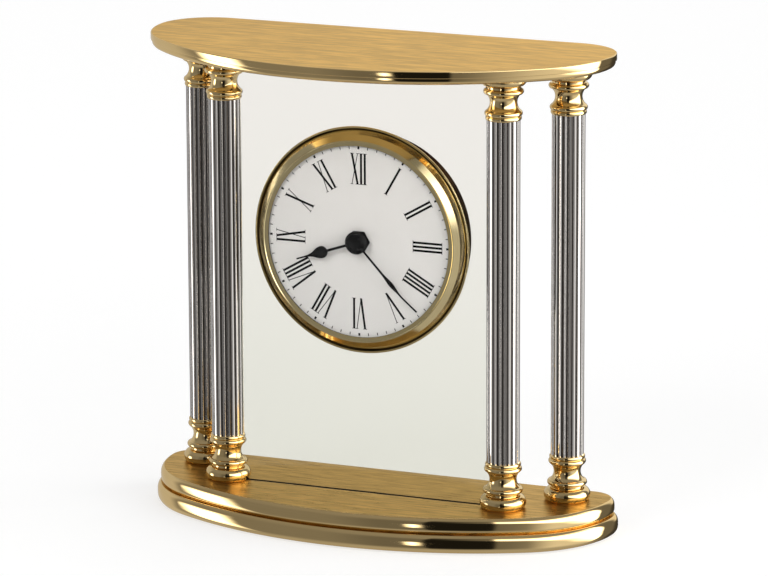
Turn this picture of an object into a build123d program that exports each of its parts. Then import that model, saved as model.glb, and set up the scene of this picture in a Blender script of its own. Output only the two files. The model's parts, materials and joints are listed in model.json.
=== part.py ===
"""Column table clock: D-shaped top and two-tier base on four fluted columns, with a
round quartz clock insert clamped in a clear panel between the two front columns.

Millimetres, +Z up, front towards -Y, origin at the bottom centre of the whole clock.
"""

import os
from math import atan2, cos, hypot, pi, radians, sin, sqrt

from build123d import *

os.makedirs("parts", exist_ok=True)

# Stack of heights
felt_thickness = 0.8
lower_tier_height = 6.9
upper_tier_height = 6.4
column_height = 168.8
top_thickness = 5.3

# Column places in plan
front_half_spacing = 57.5
back_half_spacing = 76.1
row_spacing = 20.0

# Top plate: how far its edge stands out from the columns, its curves and its edge bands
top_front_margin = 42.1
top_back_margin = 21.2
top_side_margin = 17.8
top_front_radius = 117.2
top_side_radius = 41.5
top_edge_round = 0.5
top_upper_band = 2.7
top_band_step = 0.5
top_under_round = 2.0

# Base: the same for its lower tier, then the step to the upper tier
base_front_margin = 32.9
base_back_margin = 16.0
base_side_margin = 18.9
base_front_radius = 150.3
base_side_radius = 43.0
tier_step = 1.4
deck_round = 1.9
upper_under_round = 1.1
lower_over_round = 1.9
lower_under_round = 1.9
felt_inset = 5.0

# Fluted shaft, and the turned ends as heights and as outsets from the shaft
shaft_radius = 6.44
flute_count = 20
flute_radius = 0.82
flute_outset = 0.2
ring_root_outset = 0.16
bun_height = 4.9
bun_seat_outset = 1.66
bun_bulge = 0.9
bun_belly_height = 1.9
neck_height = 0.9
neck_depth = 0.35
bead_height = 2.2
bead_bulge = 1.1
scotia_height = 6.2
scotia_depth = 1.4
collar_height = 2.1
collar_bulge = 0.65
rim_height = 1.5
rim_bulge = 0.3

# Tie rods that pull each column between the base and the top plate
rod_radius = 2.0
rod_clearance = 0.2
rod_bite = 3.6
rod_tail = 0.5
rod_recess = 0.5
thread_clearance = 0.05
hole_bottom_gap = 0.2
nut_wall = 1.5
nut_height = 3.2
washer_width = 2.5
washer_thickness = 0.8
counterbore_clearance = 0.7

# Screws that join the two tiers
screw_radius = 1.5
screw_head_outset = 1.3
screw_head_height = 1.6
screw_head_recess = 0.4
screw_bite = 4.2
screw_clearance = 0.2
screw_half_spacing = 32.0
screw_front_offset = 12.0

# Clear panel and its cushions
panel_thickness = 2.2
panel_edge_offset = 4.5
panel_edge_gap = 0.3
cushion_wall = 0.3
cushion_floor = 0.6
deck_slot_depth = 3.0
top_slot_depth = 2.4

# Clock insert: the hub above the middle of the columns, then rings about the hub axis
hub_lift = 15.6
drum_wall = 1.2
drum_room = 2.3
drum_flange_thickness = 1.4
panel_hole_clearance = 0.4
clamp_gasket_thickness = 0.4
clamp_gasket_setback = 1.2
clamp_gasket_edge = 1.5
clamp_ring_setback = 1.3
clamp_ring_thickness = 1.8
clamp_collar_wall = 6.4
clamp_collar_length = 12.0
bezel_overhang = 11.34
bezel_flange_height = 0.7
bezel_flange_width = 0.8
bezel_groove_width = 0.5
bezel_groove_depth = 0.35
bezel_bulge = 0.35
bezel_wall = 5.6
bezel_lip_width = 1.4
bezel_lip_face = 2.1
bezel_lip_thickness = 0.3
bezel_crimp_width = 1.9
bezel_crimp_thickness = 0.7
dial_clearance = 0.3
dial_thickness = 0.6
lens_gasket_width = 0.9
lens_gasket_height = 0.3
lens_thickness = 0.8
lens_rise = 6.6
lens_edge_gap = 0.3
back_thickness = 1.4
back_clearance = 0.1
back_gap = 0.2
back_recess = 0.2

# Movement case and battery bay
case_corner = 4.0
case_wall = 1.2
cover_thickness = 1.4
bay_wall = 1.0
cell_radius = 6.0
cell_length = 30.2
cell_clearance = 0.4
contact_thickness = 0.3
contact_gap = 0.2
boss_radius = 1.9
boss_sink = 0.4
case_screw_radius = 0.9
case_screw_head_radius = 1.7
case_screw_head_height = 1.1
case_screw_bite = 5.0
post_radius = 0.8

# Shafts on the hub axis
bushing_radius = 3.0
bushing_flange_width = 1.2
bushing_flange_thickness = 0.25
dial_nut_height = 0.5
dial_nut_wall = 1.0
pipe_radius = 2.0
arbor_radius = 1.2
spindle_radius = 0.7
staff_radius = 0.4
running_clearance = 0.06
pivot_depth = 0.5

# Teeth as shares of the module and of the tooth pitch
tooth_addendum = 0.8
tooth_dedendum = 1.15
tooth_tip_share = 0.18
tooth_root_share = 0.5

# Setting train, from the minute arbor to the hour wheel and the set knob
setting_module = 0.3
cannon_teeth = 12
minute_wheel_teeth = 36
minute_pinion_teeth = 10
hour_wheel_teeth = 40
minute_wheel_bearing = 135.0
set_pinion_bearing = 160.0
stud_radius = 0.6
set_shaft_radius = 0.8
set_knob_radius = 4.0
set_knob_clearance = 0.4
set_knob_gap = 0.3
set_knob_proud = 1.6
knob_flutes = 16
knob_flute_radius = 0.45

# Going train, from the rotor to the centre wheel
going_module = 0.2
pinion_teeth = 8
centre_wheel_teeth = 64
third_wheel_teeth = 60
fourth_wheel_teeth = 48
intermediate_wheel_teeth = 40
third_bearing = 20.0
fourth_bearing = 60.0
intermediate_bearing = 150.0
rotor_bearing = 200.0
wheel_thickness = 0.7
wheel_clearance = 0.44
flange_gap = 0.3
setting_gap = 0.4
going_gap = 0.8
pinion_overlap = 0.2

# Step motor and electronics
magnet_radius = 2.5
magnet_height = 2.0
magnet_gap = 0.4
stator_gap = 0.4
stator_ring_width = 1.2
stator_thickness = 0.8
stator_bar = 1.6
stator_arm_gap = 0.36
core_margin = 1.5
coil_radius = 2.2
coil_bore_clearance = 0.1
coil_gap = 0.2
coil_end_gap = 1.3
board_thickness = 0.8
board_gap = 0.6
board_room = 0.7
board_post_inset = 1.5
board_post_spacing = 8.0
crystal_radius = 1.0
crystal_length = 6.0
crystal_inset = 4.0

# Hands: each a stem, a round belly or a slim leaf, and a thin tip; the minute hand's tip leans to the dial
hour_hand_angle = 251.4
minute_hand_angle = 136.8
hand_thickness = 0.25
hour_hand_gap = 1.5
hand_spacing = 0.25
hand_hub_wall = 1.6
hand_fit = 0.01
hand_tip_half_width = 0.3
hour_stem_half_width = 0.5
hour_belly_radius = 2.35
hour_belly_reach = 15.3
hour_waist_half_width = 0.95
hour_waist_reach = 19.3
hour_neck_reach = 23.2
hour_tip_margin = 12.0
minute_stem_half_width = 0.38
minute_stem_reach = 15.0
minute_leaf_half_width = 0.85
minute_leaf_reach = 21.3
minute_neck_reach = 26.2
minute_bend_reach = 27.0
minute_tip_drop = 2.05
minute_tip_margin = 3.4
cap_radius = 4.5
cap_height = 1.85
cap_round = 0.8
cap_hole_depth = 0.9

# Places in plan and in height
foot_height = bun_height + neck_height + bead_height + scotia_height + collar_height + rim_height
shaft_length = column_height - 2 * foot_height
tier_joint_z = felt_thickness + lower_tier_height
deck_z = tier_joint_z + upper_tier_height
plate_z = deck_z + column_height
top_width = 2 * (back_half_spacing + top_side_margin)
top_depth = top_front_margin + row_spacing + top_back_margin
base_width = 2 * (back_half_spacing + base_side_margin)
front_row_y = top_front_margin - top_depth / 2
back_row_y = front_row_y + row_spacing
base_front_y = front_row_y - base_front_margin
base_back_y = back_row_y + base_back_margin
columns = {
    "front_left": (-front_half_spacing, front_row_y, 1),
    "front_right": (front_half_spacing, front_row_y, -1),
    "back_left": (-back_half_spacing, back_row_y, 0),
    "back_right": (back_half_spacing, back_row_y, 0),
}
column_axes = [(x, y) for x, y, _ in columns.values()]

# Places along the hub axis, from the panel forward to the dial
panel_front_y = front_row_y - panel_thickness / 2
panel_rear_y = front_row_y + panel_thickness / 2
bezel_rear_y = panel_front_y - clamp_gasket_thickness
flange_rear_y = bezel_rear_y - bezel_crimp_thickness
movement_y = flange_rear_y - drum_flange_thickness
dial_y = movement_y - dial_thickness
clamp_ring_y = panel_rear_y + clamp_gasket_thickness
hub_z = deck_z + column_height / 2 + hub_lift
hub_axis = Axis((0, 0, hub_z), (0, 1, 0))
hub_section = Plane.XY.offset(hub_z)


def tip_radius(module, teeth):
    """Outside radius of a toothed wheel."""
    return module * (teeth / 2 + tooth_addendum)


def mesh_distance(module, teeth_a, teeth_b):
    """Distance between the axes of two meshing wheels."""
    return module * (teeth_a + teeth_b) / 2


def step_from(start, bearing, distance):
    """Point at a distance from another, on a bearing measured from +X towards +Z."""
    return (start[0] + distance * cos(radians(bearing)), start[1] + distance * sin(radians(bearing)))


# Wheel places about the hub, as distances along X and Z
hub = (0.0, 0.0)
setting_distance = mesh_distance(setting_module, cannon_teeth, minute_wheel_teeth)
hour_module = 2 * setting_distance / (minute_pinion_teeth + hour_wheel_teeth)
minute_wheel_at = step_from(hub, minute_wheel_bearing, setting_distance)
set_pinion_at = step_from(minute_wheel_at, set_pinion_bearing, setting_distance)
third_at = step_from(hub, third_bearing, mesh_distance(going_module, centre_wheel_teeth, pinion_teeth))
fourth_at = step_from(
    third_at, fourth_bearing, mesh_distance(going_module, third_wheel_teeth, pinion_teeth)
)
intermediate_at = step_from(
    fourth_at, intermediate_bearing, mesh_distance(going_module, fourth_wheel_teeth, pinion_teeth)
)
rotor_at = step_from(
    intermediate_at, rotor_bearing, mesh_distance(going_module, intermediate_wheel_teeth, pinion_teeth)
)

# Depths behind the dial at which each layer of the movement starts
hour_layer = case_wall + bushing_flange_thickness + flange_gap
minute_layer = hour_layer + wheel_thickness + setting_gap
centre_layer = minute_layer + wheel_thickness + going_gap
third_layer = centre_layer + wheel_thickness + going_gap
fourth_layer = third_layer + wheel_thickness + going_gap
intermediate_layer = fourth_layer + wheel_thickness + going_gap
magnet_layer = intermediate_layer + wheel_thickness + pinion_overlap + magnet_gap
stator_layer = magnet_layer + (magnet_height - stator_thickness) / 2
board_layer = stator_layer + stator_thickness + board_gap
case_depth = stator_layer + stator_thickness / 2 + coil_radius + coil_gap
cover_end = case_depth + cover_thickness
back_layer = cover_end + case_screw_head_height + back_gap
drum_length = back_layer + back_thickness + back_recess
pivot_start = case_wall - pivot_depth
pivot_end = case_depth + pivot_depth

# Square case round the wheels and the battery bay, then the drum and rings round the case
bay_half_height = cell_radius + cell_clearance
bay_half_length = cell_length / 2 + contact_gap + contact_thickness
train_drop = tip_radius(going_module, centre_wheel_teeth) + wheel_clearance
case_inner = train_drop + bay_wall + 2 * bay_half_height
case_half = case_inner + case_wall
cell_drop = case_inner - bay_half_height
drum_bore = (case_half - case_corner) * sqrt(2) + case_corner + drum_room
drum_radius = drum_bore + drum_wall
panel_hole_radius = drum_radius + panel_hole_clearance
bezel_radius = drum_radius + bezel_overhang
bezel_bore = bezel_radius - bezel_wall
dial_radius = bezel_bore - dial_clearance
bezel_lip_radius = bezel_bore - bezel_lip_width


def save(builder, name):
    """Label a finished piece and write it under its own name."""
    builder.part.label = name
    export_step(builder.part, f"parts/{name}.step")


def d_plan(z, width, front_y, back_y, front_radius, side_radius, inset):
    """D-shaped plan: shallow front arc, tighter sides, round back corners, straight back."""
    half = width / 2 - inset
    front = front_y + inset
    back = back_y - inset
    front_arc = front_radius - inset
    side_arc = side_radius - inset
    side_x = half - side_arc
    side_y = front + front_arc - sqrt((front_arc - side_arc) ** 2 - side_x**2)
    turn = atan2(side_x, front + front_arc - side_y)
    join = (front_arc * sin(turn), front + front_arc * (1 - cos(turn)))
    mid_turn = (turn + pi / 2) / 2
    side_mid = (side_x + side_arc * sin(mid_turn), side_y - side_arc * cos(mid_turn))
    corner = back - side_y
    with BuildSketch(Plane.XY.offset(z)) as plan:
        with BuildLine():
            RadiusArc((-join[0], join[1]), (0, front), -front_arc)
            RadiusArc((0, front), join, -front_arc)
            ThreePointArc(join, side_mid, (half, side_y))
            RadiusArc((half, side_y), (half - corner, back), -corner)
            Line((half - corner, back), (corner - half, back))
            RadiusArc((corner - half, back), (-half, side_y), -corner)
            ThreePointArc((-half, side_y), (-side_mid[0], side_mid[1]), (-join[0], join[1]))
        make_face()
    return plan.sketch


def base_plan(z, inset):
    """Plan of the base at a height, drawn in from the lower tier's widest line."""
    return d_plan(z, base_width, base_front_y, base_back_y, base_front_radius, base_side_radius, inset)


def top_plan(z, inset):
    """Plan of the top plate at a height, drawn in from its widest line."""
    return d_plan(z, top_width, -top_depth / 2, top_depth / 2, top_front_radius, top_side_radius, inset)


def upright_holes(radius, places, z, depth):
    """Round holes cut upwards from a height."""
    with BuildSketch(Plane.XY.offset(z)) as holes:
        with Locations(places):
            Circle(radius)
    extrude(holes.sketch, amount=depth, mode=Mode.SUBTRACT)


def facing(depth, x=0.0, z=0.0):
    """Plane across the hub axis, at a depth behind the dial, whose normal faces the front."""
    return Plane((x, movement_y + depth, hub_z + z), x_dir=(1, 0, 0), z_dir=(0, -1, 0))


def rod(radius, start, end, at=hub, mode=Mode.ADD):
    """Round bar, or hole, between two depths behind the dial."""
    with BuildSketch(facing(start, *at)) as disc:
        Circle(radius)
    extrude(disc.sketch, amount=start - end, mode=mode)


# Base: two rounded tiers, the screws that join them and a felt pad
screw_places = [
    (-screw_half_spacing, front_row_y - screw_front_offset),
    (screw_half_spacing, front_row_y - screw_front_offset),
    (0, back_row_y),
]
screw_head_radius = screw_radius + screw_head_outset
rod_bore = rod_radius + rod_clearance
washer_radius = rod_radius + washer_width
counterbore_depth = washer_thickness + nut_height + rod_tail + rod_recess
slot_width = panel_thickness + 2 * cushion_wall
panel_half_width = front_half_spacing - panel_edge_offset
slot_length = 2 * (panel_half_width + panel_edge_gap)

with BuildPart() as base_lower_tier:
    extrude(base_plan(felt_thickness, 0), amount=lower_tier_height)
    fillet(base_lower_tier.faces().sort_by(Axis.Z)[-1].edges(), lower_over_round)
    fillet(base_lower_tier.faces().sort_by(Axis.Z)[0].edges(), lower_under_round)
    upright_holes(rod_bore, column_axes, felt_thickness, lower_tier_height)
    upright_holes(washer_radius + counterbore_clearance, column_axes, felt_thickness, counterbore_depth)
    upright_holes(screw_radius + screw_clearance, screw_places, felt_thickness, lower_tier_height)
    upright_holes(screw_head_radius + screw_clearance, screw_places, felt_thickness,
                  screw_head_recess + screw_head_height)
save(base_lower_tier, "base_lower_tier")

with BuildPart() as base_upper_tier:
    extrude(base_plan(tier_joint_z, tier_step), amount=upper_tier_height)
    fillet(base_upper_tier.faces().sort_by(Axis.Z)[-1].edges(), deck_round)
    fillet(base_upper_tier.faces().sort_by(Axis.Z)[0].edges(), upper_under_round)
    upright_holes(rod_bore, column_axes, tier_joint_z, upper_tier_height)
    upright_holes(screw_radius + thread_clearance, screw_places, tier_joint_z,
                  screw_bite + hole_bottom_gap)
    with BuildSketch(Plane.XY.offset(deck_z)):
        with Locations((0, front_row_y)):
            Rectangle(slot_length, slot_width)
    extrude(amount=-deck_slot_depth, mode=Mode.SUBTRACT)
save(base_upper_tier, "base_upper_tier")

screw_head_z = felt_thickness + screw_head_recess
with BuildPart() as tier_screws:
    with BuildSketch(Plane.XY.offset(screw_head_z)):
        with Locations(screw_places):
            Circle(screw_head_radius)
    extrude(amount=screw_head_height)
    with BuildSketch(Plane.XY.offset(screw_head_z)):
        with Locations(screw_places):
            Circle(screw_radius)
    extrude(amount=tier_joint_z + screw_bite - screw_head_z)
save(tier_screws, "tier_screws")

with BuildPart() as felt_pad:
    extrude(base_plan(0, felt_inset), amount=felt_thickness)
save(felt_pad, "felt_pad")

# Top plate: a rounded upper band over a slightly smaller lower band
with BuildPart() as top_plate:
    extrude(top_plan(plate_z + top_thickness - top_upper_band, 0), amount=top_upper_band)
    fillet(top_plate.faces().sort_by(Axis.Z)[-1].edges(), top_edge_round)
    extrude(top_plan(plate_z, top_band_step), amount=top_thickness - top_upper_band)
    fillet(top_plate.faces().sort_by(Axis.Z)[0].edges(), top_under_round)
    upright_holes(rod_radius + thread_clearance, column_axes, plate_z, rod_bite + hole_bottom_gap)
    with BuildSketch(Plane.XY.offset(plate_z)):
        with Locations((0, front_row_y)):
            Rectangle(slot_length, slot_width)
    extrude(amount=top_slot_depth, mode=Mode.SUBTRACT)
save(top_plate, "top_plate")

# Columns: turned foot, fluted shaft, turned capital and a tie rod through all three
ring_root = shaft_radius + ring_root_outset
bun_seat = shaft_radius + bun_seat_outset
neck_top = bun_height + neck_height
bead_top = neck_top + bead_height
scotia_top = bead_top + scotia_height
collar_top = scotia_top + collar_height


def cut_panel_groove(x, y, z, height, side):
    """Groove down the inner side of a front column for the edge of the clear panel."""
    floor = panel_edge_offset - panel_edge_gap
    reach = 2 * (bun_seat + bun_bulge)
    with BuildSketch(Plane.XY.offset(z)) as groove:
        with Locations((x + side * (floor + reach / 2), y)):
            Rectangle(reach, slot_width)
    extrude(groove.sketch, amount=height, mode=Mode.SUBTRACT)


def turned_end(name, x, y, z, up, side):
    """Turned brass foot, or with up = -1 the same piece inverted as a capital."""
    with BuildPart() as end:
        with BuildSketch(Plane((x, y, z), x_dir=(1, 0, 0), z_dir=(0, -up, 0))):
            with BuildLine():
                Line((rod_bore, 0), (bun_seat, 0))
                ThreePointArc((bun_seat, 0), (bun_seat + bun_bulge, bun_belly_height),
                              (ring_root, bun_height))
                Polyline((ring_root, bun_height), (ring_root - neck_depth, bun_height),
                         (ring_root - neck_depth, neck_top), (ring_root, neck_top))
                ThreePointArc((ring_root, neck_top), (ring_root + bead_bulge, neck_top + bead_height / 2),
                              (ring_root, bead_top))
                ThreePointArc((ring_root, bead_top), (ring_root - scotia_depth, bead_top + scotia_height / 2),
                              (ring_root, scotia_top))
                ThreePointArc((ring_root, scotia_top),
                              (ring_root + collar_bulge, scotia_top + collar_height / 2),
                              (ring_root, collar_top))
                ThreePointArc((ring_root, collar_top), (ring_root + rim_bulge, collar_top + rim_height / 2),
                              (ring_root, foot_height))
                Polyline((ring_root, foot_height), (rod_bore, foot_height), (rod_bore, 0))
            make_face()
        revolve(axis=Axis((x, y, z), (0, 0, 1)))
        if side:
            cut_panel_groove(x, y, min(z, z + up * foot_height), foot_height, side)
    save(end, name)


def fluted_shaft(name, x, y, side):
    """Polished shaft with hollow flutes all round."""
    with BuildPart() as shaft:
        with BuildSketch(Plane((x, y, deck_z + foot_height))):
            Circle(shaft_radius)
            with PolarLocations(shaft_radius + flute_outset, flute_count):
                Circle(flute_radius, mode=Mode.SUBTRACT)
            Circle(rod_bore, mode=Mode.SUBTRACT)
        extrude(amount=shaft_length)
        if side:
            cut_panel_groove(x, y, deck_z + foot_height, shaft_length, side)
    save(shaft, name)


washer_z = felt_thickness + counterbore_depth - washer_thickness
rod_foot_z = washer_z - nut_height - rod_tail
for place, (column_x, column_y, groove_side) in columns.items():
    turned_end(f"column_foot_{place}", column_x, column_y, deck_z, 1, groove_side)
    fluted_shaft(f"column_shaft_{place}", column_x, column_y, groove_side)
    turned_end(f"column_capital_{place}", column_x, column_y, plate_z, -1, groove_side)
    with BuildPart() as tie_rod:
        with BuildSketch(Plane((column_x, column_y, rod_foot_z))):
            Circle(rod_radius)
        extrude(amount=plate_z + rod_bite - rod_foot_z)
    save(tie_rod, f"tie_rod_{place}")

with BuildPart() as tie_rod_washers:
    with BuildSketch(Plane.XY.offset(washer_z)):
        with Locations(column_axes):
            Circle(washer_radius)
            Circle(rod_bore, mode=Mode.SUBTRACT)
    extrude(amount=washer_thickness)
save(tie_rod_washers, "tie_rod_washers")

with BuildPart() as tie_rod_nuts:
    with BuildSketch(Plane.XY.offset(washer_z - nut_height)):
        with Locations(column_axes):
            RegularPolygon(rod_radius + nut_wall, 6, major_radius=False)
            Circle(rod_radius + thread_clearance, mode=Mode.SUBTRACT)
    extrude(amount=nut_height)
save(tie_rod_nuts, "tie_rod_nuts")

# Clear panel, with the hole for the clock insert, and the channels that hold its edges
panel_foot_z = deck_z - deck_slot_depth + cushion_floor
panel_head_z = plate_z + top_slot_depth - cushion_floor

with BuildPart() as glass_panel:
    with BuildSketch(Plane((0, panel_rear_y, 0), x_dir=(1, 0, 0), z_dir=(0, -1, 0))):
        with Locations((0, (panel_foot_z + panel_head_z) / 2)):
            Rectangle(2 * panel_half_width, panel_head_z - panel_foot_z)
        with Locations((0, hub_z)):
            Circle(panel_hole_radius, mode=Mode.SUBTRACT)
    extrude(amount=panel_thickness)
save(glass_panel, "glass_panel")


def cushion(name, slot_floor_z, depth, up):
    """Dark channel that lines a slot from its floor and holds an edge of the panel."""
    with BuildPart() as channel:
        with BuildSketch(Plane.XY.offset(slot_floor_z)):
            with Locations((0, front_row_y)):
                Rectangle(slot_length, slot_width)
        extrude(amount=up * depth)
        with BuildSketch(Plane.XY.offset(slot_floor_z + up * cushion_floor)):
            with Locations((0, front_row_y)):
                Rectangle(slot_length, panel_thickness)
        extrude(amount=up * depth, mode=Mode.SUBTRACT)
    save(channel, name)


cushion("glass_cushion_lower", deck_z - deck_slot_depth, deck_slot_depth, 1)
cushion("glass_cushion_upper", plate_z + top_slot_depth, top_slot_depth, -1)

# Clock insert: rings turned about the hub axis
lens_seat_y = dial_y - lens_gasket_height
lens_top_y = lens_seat_y - lens_thickness
lens_radius = bezel_lip_radius - lens_edge_gap
crest_y = lens_top_y - bezel_lip_thickness
crest_radius = bezel_lip_radius + bezel_lip_face
bezel_flange_y = bezel_rear_y - bezel_flange_height
groove_y = bezel_flange_y + bezel_groove_depth
groove_outer = bezel_radius - bezel_flange_width
groove_inner = groove_outer - bezel_groove_width
slope_middle = ((groove_inner + crest_radius) / 2 + bezel_bulge, (groove_y + crest_y) / 2 - bezel_bulge)

with BuildPart() as bezel:
    with BuildSketch(hub_section):
        with BuildLine():
            Polyline(
                (crest_radius, crest_y),
                (bezel_lip_radius, crest_y),
                (bezel_lip_radius, lens_top_y),
                (bezel_bore, lens_top_y),
                (bezel_bore, flange_rear_y),
                (bezel_bore - bezel_crimp_width, flange_rear_y),
                (bezel_bore - bezel_crimp_width, bezel_rear_y),
                (bezel_radius, bezel_rear_y),
                (bezel_radius, bezel_flange_y),
                (groove_outer, bezel_flange_y),
                (groove_outer, groove_y),
                (groove_inner, groove_y),
            )
            ThreePointArc((groove_inner, groove_y), slope_middle, (crest_radius, crest_y))
        make_face()
    revolve(axis=hub_axis)
save(bezel, "bezel")

lens_sphere = (lens_radius**2 + lens_rise**2) / (2 * lens_rise)
lens_half_turn = atan2(lens_radius, lens_sphere - lens_rise) / 2
lens_mid_radius = lens_sphere * sin(lens_half_turn)
lens_mid_rise = lens_rise - lens_sphere * (1 - cos(lens_half_turn))

with BuildPart() as lens:
    with BuildSketch(hub_section):
        with BuildLine():
            ThreePointArc((0, lens_top_y - lens_rise), (lens_mid_radius, lens_top_y - lens_mid_rise),
                          (lens_radius, lens_top_y))
            Polyline((lens_radius, lens_top_y), (dial_radius, lens_top_y),
                     (dial_radius, lens_seat_y), (lens_radius, lens_seat_y))
            ThreePointArc((lens_radius, lens_seat_y), (lens_mid_radius, lens_seat_y - lens_mid_rise),
                          (0, lens_seat_y - lens_rise))
            Line((0, lens_seat_y - lens_rise), (0, lens_top_y - lens_rise))
        make_face()
    revolve(axis=hub_axis)
save(lens, "lens")


def flat_ring(name, inner_radius, outer_radius, front_y, rear_y):
    """Plain ring about the hub axis."""
    with BuildPart() as ring:
        with BuildSketch(hub_section):
            with Locations(((inner_radius + outer_radius) / 2, (front_y + rear_y) / 2)):
                Rectangle(outer_radius - inner_radius, rear_y - front_y)
        revolve(axis=hub_axis)
    save(ring, name)


clamp_gasket_inner = panel_hole_radius + clamp_gasket_setback
clamp_gasket_outer = bezel_radius - clamp_gasket_edge
bushing_hole = bushing_radius + thread_clearance
flat_ring("lens_gasket", dial_radius - lens_gasket_width, dial_radius, lens_seat_y, dial_y)
flat_ring("dial", bushing_hole, dial_radius, dial_y, movement_y)
flat_ring("glass_gasket_front", clamp_gasket_inner, clamp_gasket_outer, bezel_rear_y, panel_front_y)
flat_ring("glass_gasket_rear", clamp_gasket_inner, clamp_gasket_outer, panel_rear_y, clamp_ring_y)


def flanged_ring(name, bore, flange_radius, wall_radius, front_y, flange_y, rear_y):
    """Ring with a wide flange in front and a narrower collar behind it."""
    with BuildPart() as ring:
        with BuildSketch(hub_section):
            with BuildLine():
                Polyline((bore, front_y), (flange_radius, front_y), (flange_radius, flange_y),
                         (wall_radius, flange_y), (wall_radius, rear_y), (bore, rear_y), close=True)
            make_face()
        revolve(axis=hub_axis)
    save(ring, name)


clamp_bore = drum_radius + thread_clearance
flanged_ring("case_drum", drum_bore, dial_radius, drum_radius, movement_y, flange_rear_y,
             movement_y + drum_length)
flanged_ring("rear_clamp_ring", clamp_bore, bezel_radius - clamp_ring_setback,
             clamp_bore + clamp_collar_wall, clamp_ring_y, clamp_ring_y + clamp_ring_thickness,
             clamp_ring_y + clamp_collar_length)


# Toothed wheels
def gear(teeth, module, start, end, at, phase):
    """Toothed disc between two depths, with the middle of one tooth on the bearing phase."""
    tip = tip_radius(module, teeth)
    root = module * (teeth / 2 - tooth_dedendum)
    pitch = 2 * pi / teeth
    corners = [(root, -tooth_root_share), (tip, -tooth_tip_share),
               (tip, tooth_tip_share), (root, tooth_root_share)]
    outline = []
    for tooth in range(teeth):
        for radius, share in corners:
            angle = radians(phase) + (tooth + share / 2) * pitch
            outline.append((radius * cos(angle), radius * sin(angle)))
    with BuildSketch(facing(start, *at)) as disc:
        with BuildLine():
            Polyline(*outline, close=True)
        make_face()
    extrude(disc.sketch, amount=start - end)


def mesh_phase(driver_phase, driver_teeth, teeth, bearing):
    """Phase that sets a wheel's gap on its driver's nearest tooth, seen from the driver."""
    along = (bearing - driver_phase) * driver_teeth / 360
    return bearing + 180 + (180 + (along - round(along)) * 360) / teeth


# Setting train: minute arbor, minute wheel, hour wheel and set knob
minute_wheel_phase = mesh_phase(0, cannon_teeth, minute_wheel_teeth, minute_wheel_bearing)
hour_wheel_phase = mesh_phase(0, minute_pinion_teeth, hour_wheel_teeth, minute_wheel_bearing + 180)
set_pinion_phase = mesh_phase(minute_wheel_phase, minute_wheel_teeth, cannon_teeth, set_pinion_bearing)
minute_end = minute_layer + wheel_thickness
bushing_front = -dial_thickness - dial_nut_height
hour_hand_rear = bushing_front - hour_hand_gap
hour_hand_front = hour_hand_rear - hand_thickness
minute_hand_rear = hour_hand_front - hand_spacing
minute_hand_front = minute_hand_rear - hand_thickness
arbor_front = minute_hand_front - cap_hole_depth

with BuildPart() as minute_arbor:
    gear(cannon_teeth, setting_module, minute_layer, minute_end, hub, 0)
    rod(arbor_radius, arbor_front, minute_layer)
    rod(spindle_radius, minute_end, pivot_end)
save(minute_arbor, "minute_arbor")

with BuildPart() as minute_wheel:
    gear(minute_wheel_teeth, setting_module, minute_layer, minute_end, minute_wheel_at,
         minute_wheel_phase)
    gear(minute_pinion_teeth, hour_module, hour_layer, minute_layer, minute_wheel_at, 0)
    rod(stud_radius + running_clearance, hour_layer, minute_end, minute_wheel_at, Mode.SUBTRACT)
save(minute_wheel, "minute_wheel")

with BuildPart() as hour_wheel:
    gear(hour_wheel_teeth, hour_module, hour_layer, hour_layer + wheel_thickness, hub, hour_wheel_phase)
    rod(pipe_radius, hour_hand_front, hour_layer)
    rod(arbor_radius + running_clearance, hour_hand_front, minute_layer, hub, Mode.SUBTRACT)
save(hour_wheel, "hour_wheel")

knob_start = cover_end + set_knob_gap
knob_end = drum_length + set_knob_proud
with BuildPart() as set_knob:
    gear(cannon_teeth, setting_module, minute_layer, minute_end, set_pinion_at, set_pinion_phase)
    rod(staff_radius, pivot_start, minute_layer, set_pinion_at)
    rod(set_shaft_radius, minute_end, knob_start, set_pinion_at)
    with BuildSketch(facing(knob_start, *set_pinion_at)):
        Circle(set_knob_radius)
        with PolarLocations(set_knob_radius, knob_flutes):
            Circle(knob_flute_radius, mode=Mode.SUBTRACT)
    extrude(amount=knob_start - knob_end)
save(set_knob, "set_knob")


# Going train: centre, third, fourth and intermediate wheels, and the step motor's rotor
def going_pinion(wheel_layer, at, driver_teeth, bearing):
    """Pinion and its arbor, set in mesh with a wheel whose tooth is at phase 0."""
    phase = mesh_phase(0, driver_teeth, pinion_teeth, bearing)
    gear(pinion_teeth, going_module, wheel_layer - pinion_overlap,
         wheel_layer + wheel_thickness + pinion_overlap, at, phase)
    rod(staff_radius, pivot_start, pivot_end, at)


with BuildPart() as centre_wheel:
    gear(centre_wheel_teeth, going_module, centre_layer, centre_layer + wheel_thickness, hub, 0)
    rod(spindle_radius + running_clearance, centre_layer, third_layer, hub, Mode.SUBTRACT)
save(centre_wheel, "centre_wheel")

with BuildPart() as third_wheel:
    gear(third_wheel_teeth, going_module, third_layer, third_layer + wheel_thickness, third_at, 0)
    going_pinion(centre_layer, third_at, centre_wheel_teeth, third_bearing)
save(third_wheel, "third_wheel")

with BuildPart() as fourth_wheel:
    gear(fourth_wheel_teeth, going_module, fourth_layer, fourth_layer + wheel_thickness, fourth_at, 0)
    going_pinion(third_layer, fourth_at, third_wheel_teeth, fourth_bearing)
save(fourth_wheel, "fourth_wheel")

with BuildPart() as intermediate_wheel:
    gear(intermediate_wheel_teeth, going_module, intermediate_layer,
         intermediate_layer + wheel_thickness, intermediate_at, 0)
    going_pinion(fourth_layer, intermediate_at, fourth_wheel_teeth, intermediate_bearing)
save(intermediate_wheel, "intermediate_wheel")

with BuildPart() as rotor:
    rod(magnet_radius, magnet_layer, magnet_layer + magnet_height, rotor_at)
    going_pinion(intermediate_layer, rotor_at, intermediate_wheel_teeth, rotor_bearing)
save(rotor, "rotor")

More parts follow.
